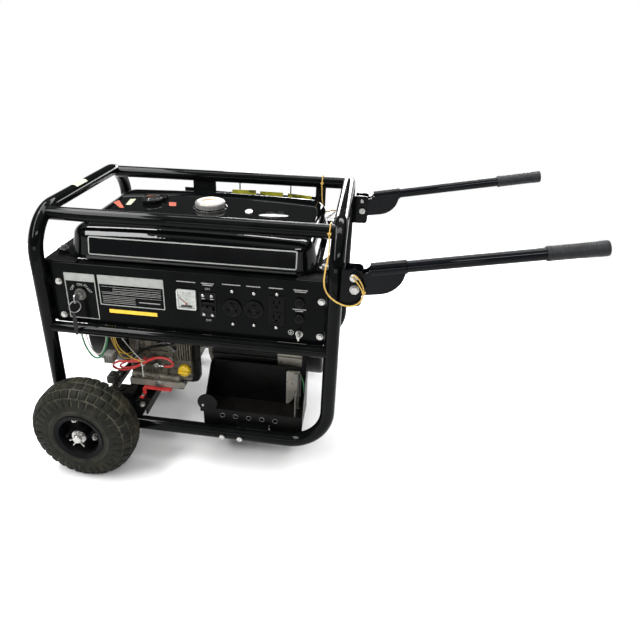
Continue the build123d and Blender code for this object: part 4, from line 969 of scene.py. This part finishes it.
# socket faces: raised rims and screw heads
for i, (sx, sz) in enumerate(((107.6, 332.5), (154.6, 333.5))):
    lathe(f"twist_socket_rim_{i}", [(17.6, 0), (19.6, 0), (19.9, 0.4), (19.9, 1.3), (19.3, 1.7), (17.9, 1.7), (17.4, 1.2), (17.4, 0), (17.6, 0)],
          M(sx, -238, sz), (0, -1, 0), "plastic", ROOT, 56)
    lathe(f"twist_socket_core_{i}", [(0, 0), (4.4, 0), (4.4, 0.9), (3.8, 1.2), (0, 1.2)], M(sx, -238, sz), (0, -1, 0), "plastic", ROOT, 32)
bm = bmesh.new()
for dz in (-17, 17):
    o = rounded(203.3 - 14.5, 203.3 + 14.5, 334.5 + dz - 14, 334.5 + dz + 14, 9, 6)
    n = rounded(203.3 - 13.3, 203.3 + 13.3, 334.5 + dz - 12.8, 334.5 + dz + 12.8, 8, 6)
    add_band(bm, o, n, lambda p, t: M(p[0], -237.0 - 1.2 * t, p[1]))
finish_mesh("duplex_rims", bm, "plastic", ROOT, 30)
bm = bmesh.new()
for sx, sz in ((107.5, 371.4), (107.8, 292.5), (154.6, 370.5), (154.6, 294.0), (203.6, 373.6), (202.8, 293.4), (44, 357), (63, 357), (44.5, 311), (63.5, 311)):
    y = -239.4 if sx < 70 else -237.2
    a = random.uniform(0, math.pi)
    add_lathe(bm, [(0, 0), (3.6, 0), (3.6, 0.3), (3.1, 1.0), (2.0, 1.5), (0, 1.7)], M(sx, y, sz), (0, -1, 0), 24)
finish_mesh("screw_heads", bm, "zinc", ROOT, 40)
bm = bmesh.new()
for sx, sz in ((252.0, 358.5), (252.6, 320.5)):
    add_lathe(bm, [(5.5, 0), (9.4, 0), (10.2, 0.5), (10.2, 2.2), (9.4, 3.2), (6.2, 3.6), (5.5, 3.2), (5.5, 0)], M(sx, -237.9, sz), (0, -1, 0), 40,
              lambda t, r, h: 0.25 * math.cos(20 * t) if r > 10 else 0.0)
finish_mesh("button_collars", bm, "plastic", ROOT, 30)
bm = bmesh.new()
for dx in (-9.5, 9.5):
    add_box(bm, 53.5 + dx - 3.6, 53.5 + dx + 3.6, -238.0, -237.1, 348.0, 350.0, 0.2)
finish_mesh("breaker_marks", bm, "white", ROOT, 20)

# ------------------------------------------------------------------ fuel tank: decal frame, labels, cap, gauge
def tree(name):
    me = NODES[name].data
    return BVHTree.FromPolygons([v.co for v in me.vertices], [p.vertices for p in me.polygons])


tank_bvh = tree("tank_upper_shell")
arch_bvh = tree("left_arch")


def on_tank_front(p, t):
    hit, nrm, _, _ = tank_bvh.ray_cast(M(p[0], -260, p[1]), Vector((0, 1, 0)))
    if nrm.y > 0:
        nrm = -nrm
    return hit + nrm * (0.00005 + 0.0003 * t)


def on_top(bvh, z0=540):
    def lift(p, t):
        hit, nrm, _, _ = bvh.ray_cast(M(p[0], p[1], z0), Vector((0, 0, -1)))
        if nrm.z < 0:
            nrm = -nrm
        return hit + nrm * (0.00005 + 0.0004 * t)
    return lift


def add_sheet(bm, p0, p1, p2, p3, lift, nx=14, ny=6):
    """Thin closed patch between four corners, laid on a surface."""
    tops, lows = [], []
    for j in range(ny + 1):
        for i in range(nx + 1):
            u, v = i / nx, j / ny
            a = tuple(p0[k] + (p1[k] - p0[k]) * u for k in (0, 1))
            b = tuple(p3[k] + (p2[k] - p3[k]) * u for k in (0, 1))
            p = tuple(a[k] + (b[k] - a[k]) * v for k in (0, 1))
            tops.append(bm.verts.new(lift(p, 1.0)))
            lows.append(bm.verts.new(lift(p, 0.0)))
    w = nx + 1
    for j in range(ny):
        for i in range(nx):
            q = [j * w + i, j * w + i + 1, (j + 1) * w + i + 1, (j + 1) * w + i]
            bm.faces.new([tops[k] for k in q])
            bm.faces.new([lows[k] for k in reversed(q)])
    loop = [i for i in range(w)] + [j * w + nx for j in range(1, ny + 1)] + [ny * w + i for i in range(nx - 1, -1, -1)] + [j * w for j in range(ny - 1, 0, -1)]
    for a, b in zip(loop, loop[1:] + loop[:1]):
        bm.faces.new((tops[b], tops[a], lows[a], lows[b]))


def subdivide(pts, most):
    out = []
    for a, b in zip(pts, pts[1:] + pts[:1]):
        n = max(1, int(math.hypot(b[0] - a[0], b[1] - a[1]) / most))
        out += [(a[0] + (b[0] - a[0]) * i / n, a[1] + (b[1] - a[1]) * i / n) for i in range(n)]
    return out


outer = rounded(-224, 240, 417.5, 457.5, 4, 5)
inner = rounded(-221.2, 237.2, 420.3, 454.7, 2.2, 5)
out2, in2 = [], []
for (a, b), (c, d) in zip(zip(outer, outer[1:] + outer[:1]), zip(inner, inner[1:] + inner[:1])):
    n = max(1, int(math.hypot(b[0] - a[0], b[1] - a[1]) / 8))
    for i in range(n):
        f = i / n
        out2.append((a[0] + (b[0] - a[0]) * f, a[1] + (b[1] - a[1]) * f))
        in2.append((c[0] + (d[0] - c[0]) * f, c[1] + (d[1] - c[1]) * f))
bm = bmesh.new()
add_band(bm, out2, in2, on_tank_front)
finish_mesh("tank_decal_border", bm, "white", ROOT, 40)
bm = bmesh.new()
add_sheet(bm, (-221.6, 419.9), (237.6, 419.9), (237.6, 455.1), (-221.6, 455.1), on_tank_front, 60, 4)
finish_mesh("tank_decal_ground", bm, "navy", ROOT, 40)
top = on_top(tank_bvh)
bm = bmesh.new()
for quad in (((10, 452), (75.5, 454.3), (75.5, 470), (10, 468.6)), ((86.5, 452), (149.5, 452), (149.5, 467.5), (86.5, 468)),
             ((163, 451), (227, 449), (227, 462.2), (163, 466.5))):
    add_prism(bm, [M(x, 184.6, zz) for x, zz in quad], (0, 1, 0), 1.0)
finish_mesh("hanger_labels", bm, "lime", ROOT, 40)
bm = bmesh.new()
add_sheet(bm, (-213, -46), (-201, -48), (-240, 13), (-247, -6), top, 6, 6)
add_sheet(bm, (-98, -18), (-81, -18), (-90, 11), (-109, 11), top, 6, 6)
finish_mesh("tank_orange_marks", bm, "orange_dim", ROOT, 40)
bm = bmesh.new()
add_sheet(bm, (-208, -22), (-195, -21), (-201, 27), (-215, 24), top, 6, 6)
add_sheet(bm, (-331, -50), (-313, -50), (-313, 4), (-331, 4), on_top(arch_bvh, 560), 6, 14)
finish_mesh("pale_labels", bm, "pale", ROOT, 40)


def grip_ribs(t, r, h):
    return -1.0 * (0.5 + 0.5 * math.cos(36 * t)) if r > 35.5 and 2.0 < h < 11.5 else 0.0


capc = M(2.3, -9, 480.6)
cap = lathe("ribbed_fuel_cap", [(28.2, 7.4), (28.2, 0.2), (35.0, 0.2), (36.2, 0.8), (36.6, 2.6), (36.9, 5.0), (36.9, 9.0), (36.4, 11.0),
                                (34.6, 13.0), (32.0, 13.9), (31.2, 13.6), (30.6, 13.9), (29.5, 14.0)] + [(28.2 * k / 6, 14.0) for k in (5, 3)] + [(0, 14.0)],
            capc, (0, 0, 1), "cap", "filler_cap", 216, grip_ribs, 40)
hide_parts("fuel_cap")
lathe("fuel_cap_label", [(0, 13.7), (29.6, 13.7), (29.8, 14.6), (27.0, 15.6), (20.0, 16.4), (10.0, 16.9), (0, 17.0)], capc, (0, 0, 1), "cap_top", "filler_cap", 64)
bm = bmesh.new()
mark = [(-20, -4.6), (12, -4.6), (21, 0), (12, 4.6), (-20, 4.6)]
ca, sa = math.cos(math.radians(25)), math.sin(math.radians(25))
add_prism(bm, [capc + Vector((x * ca - y * sa, x * sa + y * ca, 16.3)) / 1000 for x, y in mark], (0, 0, 1), 0.9)
finish_mesh("fuel_cap_arrow", bm, "orange", "filler_cap", 20)
lathe("fuel_cap_seat", [(38, -14), (47, -14), (47, 0.4), (44, 2.0), (40, 3.0), (38, 2.6), (38, -14)], M(2.3, -9, 476.4), (0, 0, 1), "chrome", ROOT, 64)

gc = M(-150, 8, 480)
lathe("gauge_rim", [(18.0, 8.6), (20.2, 9.2), (21.6, 8.9), (22.2, 8.0), (21.0, 7.2), (18.0, 7.2), (18.0, 8.6)], gc, (0, 0, 1), "chrome", ROOT, 56)
lathe("gauge_bezel", [(18.5, 8.0), (21.0, 8.0), (24.6, 6.6), (25.4, 4.6), (25.4, 1.0), (25.0, 0.0), (24.0, -6), (18.5, -6), (18.5, 8.0)],
      gc, (0, 0, 1), "plastic", ROOT, 64, lambda t, r, h: 0.4 * math.cos(12 * t) if r > 24 else 0.0)
lathe("gauge_lens", [(0, 8.0), (18.6, 8.0), (18.6, 9.4), (16.0, 11.6), (9.0, 13.4), (0, 14.0)], gc, (0, 0, 1), "lens", ROOT, 48)
bm = bmesh.new()
add_prism(bm, [gc + Vector((x, y, 9.42)) / 1000 for x, y in ((-13, -2), (3, -1), (3, 1), (-13, 2))], (0, 0, 1), 0.3)
finish_mesh("gauge_pointer", bm, "orange", ROOT, 20)

# raised gauge guard: two moulded ribs beside the gauge
bm = bmesh.new()
add_box(bm, -182, -120, 35, 43, 472.4, 488.4, 3.6)
add_box(bm, -136, -120, 20, 40, 472.4, 486.4, 3.6)
finish_mesh("gauge_guard", bm, "plastic", ROOT, 30)

# ------------------------------------------------------------------ engine, front side
bm = bmesh.new()
add_prism(bm, [M(x, -134.5, zz) for x, zz in rounded(-184, -72, 108, 206, 14, 6)], (0, -1, 0), 5.5)
bmesh.ops.bevel(bm, geom=[e for e in bm.edges], offset=0.0012, segments=2, affect="EDGES")
for zz in (124, 140, 156, 172, 188):
    add_box(bm, -172, -84, -143.5, -139, zz - 1.6, zz + 1.6, 0.8)
add_lathe(bm, [(0, 0), (24, 0), (24, 7), (22, 9.5), (14, 10), (12, 13), (0, 13)], M(-132, -139.5, 172), (0, -1, 0), 48)
add_box(bm, -108, -78, -152, -138, 176, 206, 2.5)
finish_mesh("crankcase_side_cover", bm, "cast", ROOT, 35)
bm = bmesh.new()
for x, zz in ((-176, 116), (-80, 116), (-176, 198), (-80, 170), (-128, 112), (-150, 200)):
    add_hex(bm, M(x, -140, zz), (0, -1, 0), 10, 5.5, washer=7)
add_hex(bm, M(-113, -148.6, 46), (0, -1, 0), 12, 7.5, washer=8.5)
add_hex(bm, M(-136, -206, 20), (0, 0, 1), 11, 6, washer=8)
finish_mesh("engine_bolts", bm, "zinc", ROOT, 30)
# rounded sump edge along the crankcase foot
bm = bmesh.new()
add_rod(bm, M(-184, -140, 62), M(-54, -140, 62), 11, 28, 0.3)
add_rod(bm, M(-58, -137, 96), M(-30, -137, 96), 9, 24, 0.3)
add_box(bm, -66, -24, -142, -120, 60, 120, 6)
add_lathe(bm, [(0, 0), (17, 0), (17, 8), (15.5, 9.5), (13.6, 9.8), (0, 9.8)], M(-41, -131.3, 96), (0, -1, 0), 40)
finish_mesh("sump_edge", bm, "cast", ROOT, 40)
# oil cap: scalloped grip over the cap
oc = lathe("scalloped_oil_cap", [(0, 0.2), (11.5, 0.2), (13.0, 0.6), (15.4, 1.2), (16.2, 3), (16.2, 11), (15.2, 14), (12.0, 15.8), (5.0, 16.2), (0, 16.2)],
           M(-41, -141.5, 96), (0, -1, 0), "oil", "dipstick_cap", 96,
           lambda t, r, h: -1.5 * (0.5 + 0.5 * math.cos(10 * t)) ** 2 if r > 14.9 else 0.0, 45)
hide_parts("oil_cap")
bm = bmesh.new()
add_box(bm, -54.5, -27.5, -163.2, -156.5, 92.5, 99.5, 2.2)
finish_mesh("oil_cap_bar", bm, "oil", "dipstick_cap", 40)
# upright fins right of the cover
bm = bmesh.new()
for i in range(6):
    x = -57 + 6.2 * i
    add_box(bm, x - 1.5, x + 1.5, -148, -134, 122, 200, 1.0)
finish_mesh("block_fins", bm, "cast", ROOT, 35)
# black side shield, bent plate right of the block
bm = bmesh.new()
outline = [(-32, 215), (-14, 215), (-11.5, 160), (-9.5, 90), (-9.5, 62), (-12, 54), (-18, 49), (-28, 46.5), (-46, 45), (-46, 56), (-32, 58)]
add_prism(bm, [M(x, -108, zz) for x, zz in outline], (0, -1, 0), 18)
bmesh.ops.bevel(bm, geom=[e for e in bm.edges], offset=0.0015, segments=2, affect="EDGES")
finish_mesh("engine_side_shield", bm, "satin", ROOT, 35)
# governor lever and rods
bm = bmesh.new()
add_rod(bm, M(-160, -147, 150), M(-70, -147, 176), 1.8, 14)
add_rod(bm, M(-122, -145, 186), M(-64, -145, 150), 1.6, 14)
add_rod(bm, M(-66, -136, 150), M(-66, -150, 150), 4, 18)
add_rod(bm, M(-160, -136, 150), M(-160, -151, 150), 4.5, 18)
add_prism(bm, [M(x, -150, zz) for x, zz in ((-166, 144), (-156, 144), (-150, 196), (-156, 196))], (0, -1, 0), 2.4)
finish_mesh("governor_linkage", bm, "steel", ROOT, 35)
# red support bracket under the engine's base
bm = bmesh.new()
add_box(bm, -152, -78, -160, -146, 33.2, 36.4, 0.9)
add_box(bm, -153, -143, -160.6, -157.4, 20.2, 36.2, 1.0)
add_box(bm, -153, -143, -183, -157.6, 20.2, 23.4, 1.0)
finish_mesh("red_bracket", bm, "red", ROOT, 35)
bm = bmesh.new()
add_hex(bm, M(-148, -172, 23.2), (0, 0, 1), 7, 4, washer=4.4)
finish_mesh("red_bracket_bolt", bm, "zinc", ROOT, 30)
# machined face along the crankcase's base flange
bm = bmesh.new()
add_prism(bm, [M(x, -147.6, zz) for x, zz in ((-187, 38), (-60, 38), (-56, 41), (-44, 41), (-44, 57), (-187, 57))], (0, -1, 0), 1.6)
bmesh.ops.bevel(bm, geom=[e for e in bm.edges], offset=0.0006, segments=2, affect="EDGES")
finish_mesh("base_flange_face", bm, "cast_pale", ROOT, 35)
# wiring connector below the panel and the black regulator box at the shroud
bm = bmesh.new()
add_box(bm, -240, -216, -176, -150, 112, 136, 2)
for i in range(4):
    add_box(bm, -238 + 6 * i, -235 + 6 * i, -179, -150, 114, 134, 0.6)
finish_mesh("wire_connector", bm, "connector", ROOT, 35)
bm = bmesh.new()
add_box(bm, -240, -218, -176, -146, 50, 70, 3)
add_box(bm, -236, -224, -170, -152, 70, 75, 2)
add_rod(bm, M(-232, -160, 54), M(-222, -160, 19), 5, 20)
add_rod(bm, M(-228, -152, 62), M(-196, -140, 84), 5, 20)
finish_mesh("regulator_box", bm, "grime_and_sheen", ROOT, 35)
bm = bmesh.new()
add_box(bm, -214, -168, -186, -150, 20.2, 36, 3)
add_box(bm, -208, -196, -184, -170, 36, 41, 2)
add_box(bm, -188, -174, -184, -168, 36, 39, 1.5)
finish_mesh("relay_box", bm, "satin", ROOT, 35)

# ------------------------------------------------------------------ alternator, tray and rear side details
bm = bmesh.new()
for i in range(24):
    a = 2 * math.pi * i / 24
    p = M(25, -20 + 107.5 * math.cos(a), 168 + 107.5 * math.sin(a))
    if 0.0 < math.sin(a) + 0.9:
        add_rod(bm, p, M(190, -20 + 107.5 * math.cos(a), 168 + 107.5 * math.sin(a)), 2.4, 10)
finish_mesh("stator_ribs", bm, "lamination", ROOT, 40)
bm = bmesh.new()
for a in (45, 135, 225, 315):
    t = math.radians(a)
    p = M(258, -20 + 101 * math.cos(t), 168 + 101 * math.sin(t))
    add_hex(bm, M(298, -20 + 88 * math.cos(t), 168 + 88 * math.sin(t)), (1, 0, 0), 10, 5, washer=7)
finish_mesh("end_cover_bolts", bm, "zinc", ROOT, 30)
# folded top edge of the tray
bm = bmesh.new()
add_box(bm, 28, 214, -139.6, -135.2, 128.6, 132, 1.2)
finish_mesh("tray_edges", bm, "tray", ROOT, 35)
# lug of the end bell and the lead block on it
bm = bmesh.new()
add_prism(bm, [M(x, -140.5, zz) for x, zz in ((214.6, 22.6), (220, 22.6), (230.5, 34), (239.8, 62), (248, 120), (214.6, 118))], (0, 1, 0), 6)
bmesh.ops.bevel(bm, geom=[e for e in bm.edges], offset=0.0010, segments=2, affect="EDGES")
add_box(bm, 216, 244, -135.5, -106, 100, 118, 2)
finish_mesh("end_bell_lug", bm, "cast_pale", ROOT, 35)
bm = bmesh.new()
add_box(bm, 232, 252, -145.8, -140.2, 50, 116, 1.6)
for i in range(3):
    add_box(bm, 233.5 + 6 * i, 237 + 6 * i, -146.6, -141, 56, 110, 0.6)
finish_mesh("lead_block", bm, "connector", ROOT, 35)
# wing plate closing the tray's corner beside the end bell
bm = bmesh.new()
add_prism(bm, [M(x, -132.2, zz) for x, zz in ((214, 22), (262, 22), (262, 124), (257, 130), (214, 130))], (0, -1, 0), 2.2)
bmesh.ops.bevel(bm, geom=[e for e in bm.edges], offset=0.0006, segments=2, affect="EDGES")
for x, zz in ((256, 40), (256, 118)):
    add_hex(bm, M(x, -134.3, zz), (0, -1, 0), 7, 3.5, washer=4.4)
finish_mesh("tray_wing_plate", bm, "tray", ROOT, 35)
# steel rings round the edges of the lip's holes, lighter than the tray's black
bm = bmesh.new()
for i in range(5):
    add_torus(bm, M(74.5 + 31.8 * i, -228.1, 34.5), (0, 1, 0), 5.7, 0.5)
finish_mesh("tray_hole_edges", bm, "steel", ROOT, 40)
bm = bmesh.new()
for y in (-215, -150):
    h = 30.0
    prof = [(0, 23)]
    z = 24.0
    while z < 115:
        prof += [(2.55, z), (2.95, z + 0.75)]
        z += 1.5
    prof += [(2.2, 117), (0, 117)]
    add_lathe(bm, prof, M(247, y, 0), (0, 0, 1), 16)
    add_hex(bm, M(247, y, 22.5), (0, 0, 1), 9, 5, washer=7)
finish_mesh("hold_down_threads", bm, "dull_rod", ROOT, 30)
# perforated guard over the muffler
bm = bmesh.new()
for i in range(15):
    x = -4 + 16 * i
    add_box(bm, x - 4.6, x + 4.6, 216.5, 219.5, 240, 316, 1.0)
add_box(bm, -12, 232, 216, 220, 312, 322, 1.2)
add_box(bm, -12, 232, 216, 220, 234, 244, 1.2)
for x in (-6, 226):
    add_box(bm, x - 3, x + 3, 206, 219, 270, 284, 1)
finish_mesh("muffler_guard", bm, "heat", ROOT, 35)
# air cleaner lid, clips and intake ribs
bm = bmesh.new()
add_prism(bm, [M(x, 217.5, zz) for x, zz in rounded(-299, -217, 250, 336, 14, 6)], (0, 1, 0), 7)
bmesh.ops.bevel(bm, geom=[e for e in bm.edges], offset=0.002, segments=2, affect="EDGES")
for zz in (266, 279, 292, 305, 318):
    add_box(bm, -290, -226, 223, 227, zz - 2, zz + 2, 1)
finish_mesh("air_cleaner_lid", bm, "plastic", ROOT, 35)
bm = bmesh.new()
for x in (-286, -230):
    add_box(bm, x - 6, x + 6, 205, 226, 338, 343, 1.5)
    add_box(bm, x - 5, x + 5, 223, 227, 322, 342, 1.2)
finish_mesh("air_cleaner_clips", bm, "chrome", ROOT, 35)
# spark lead and plug cap at the head
wire("spark_lead", [(-125, 213, 266), (-130, 222, 262), (-142, 226, 250), (-156, 222, 230), (-166, 208, 210), (-172, 188, 196), (-176, 160, 188), (-178, 128, 182), (-178, 100, 178)],
     7.0, "hose")
lathe("plug_cap", [(0, 0), (9, 0), (10, 2), (10, 12), (8, 16), (6, 22), (0, 22)], M(-125, 200, 270), (0, 0.9, -0.3), "rubber", ROOT, 32)
# recoil cover: raised ring and bolts on the shroud's face
lathe("recoil_ring", [(92, 0), (100, 0), (101, 1), (101, 4), (100, 5), (92, 5), (91, 4), (91, 1), (92, 0)], M(-291.8, -20, 168), (-1, 0, 0), "satin", ROOT, 96)
bm = bmesh.new()
for i in range(4):
    t = math.radians(45 + 90 * i)
    add_hex(bm, M(-292, -20 + 108 * math.cos(t), 168 + 108 * math.sin(t)), (-1, 0, 0), 9, 5, washer=7)
finish_mesh("recoil_bolts", bm, "zinc", ROOT, 30)

# ------------------------------------------------------------------ floor and light
bm = bmesh.new()
bmesh.ops.create_circle(bm, cap_ends=True, segments=160, radius=1.75)
me = bpy.data.meshes.new("floor")
bm.to_mesh(me)
bm.free()
floor_mat = mat("floor_paint", (0.68, 0.68, 0.68), (0.71, 0.71, 0.71), (0.8, 0.9), scale=3, spec=0.1)
me.materials.append(floor_mat)
floor = bpy.data.objects.new("floor", me)
bpy.context.scene.collection.objects.link(floor)

# studio surround: white near the floor's edge, dimmer overhead
world = bpy.data.worlds.new("studio")
bpy.context.scene.world = world
world.use_nodes = True
wn, wl = world.node_tree.nodes, world.node_tree.links
wtc = wn.new("ShaderNodeTexCoord")
wsep = wn.new("ShaderNodeSeparateXYZ")
wl.new(wtc.outputs["Generated"], wsep.inputs[0])
wcr = wn.new("ShaderNodeValToRGB")
wcr.color_ramp.elements[0].position = 0.13
wcr.color_ramp.elements[0].color = (1, 1, 1, 1)
wcr.color_ramp.elements[1].position = 0.80
wcr.color_ramp.elements[1].color = (0.80, 0.80, 0.80, 1)
for at, v in ((0.21, 0.075), (0.52, 0.075)):
    wcr.color_ramp.elements.new(at).color = (v, v, v, 1)
wl.new(wsep.outputs["Z"], wcr.inputs["Fac"])
wl.new(wcr.outputs["Color"], wn["Background"].inputs["Color"])
wn["Background"].inputs["Strength"].default_value = 1.0


def area(name, loc, target, size, power, size_y=None, color=(1, 1, 1)):
    d = bpy.data.lights.new(name, "AREA")
    d.shape = "RECTANGLE"
    d.size = size
    d.size_y = size_y or size
    d.energy = power
    d.color = color
    ob = bpy.data.objects.new(name, d)
    bpy.context.scene.collection.objects.link(ob)
    ob.location = loc
    ob.rotation_euler = (Vector(target) - Vector(loc)).to_track_quat("-Z", "Y").to_euler()
    return ob


key = area("key", (-1.33, -1.05, 2.20), (-0.40, -0.18, 0.56), 0.50, 85, 2.3)
# the panel's long side runs from overhead down to the front
key.rotation_euler = Matrix(((0.892, 0.0, -0.453), (-0.2025, 0.894, -0.403), (0.405, 0.447, 0.796))).to_euler()
over = area("key_over", (-1.37, 0.33, 2.56), (-0.43, -0.18, 0.59), 0.50, 46, 1.45)
over.rotation_euler = Matrix(((0.9066, 0.0, -0.42), (0.127, 0.953, 0.281), (0.400, -0.303, 0.862))).to_euler()
area("fill", (0.95, -2.0, 2.2), (0.45, -0.2, 0.6), 1.5, 34, 0.35)
area("top", (0.0, 0.3, 2.9), (0, 0, 0.3), 2.2, 60, 0.6)
area("back", (0.3, 2.0, 2.7), (0.1, 0.2, 0.0), 2.0, 65, 0.7)
area("low_back", (0.1, 1.75, 0.85), (0.05, 0.0, 0.0), 1.5, 26, 0.3)
area("low_front", (-0.2, -2.3, 0.80), (0.0, 0.0, 0.0), 1.6, 8, 0.3)
for name, x, z, w, h, power in (("lamp_round", -0.62, 1.400, 0.055, 0.026, 0.06), ("lamp_bar", -0.43, 1.420, 0.22, 0.012, 0.10)):
    lamp = area(name, (x, 2.39, z), (-0.10, -0.03, 0.57), w, power, h)
    lamp.data.shape = "ELLIPSE"
bpy.context.scene.view_settings.view_transform = "Standard"
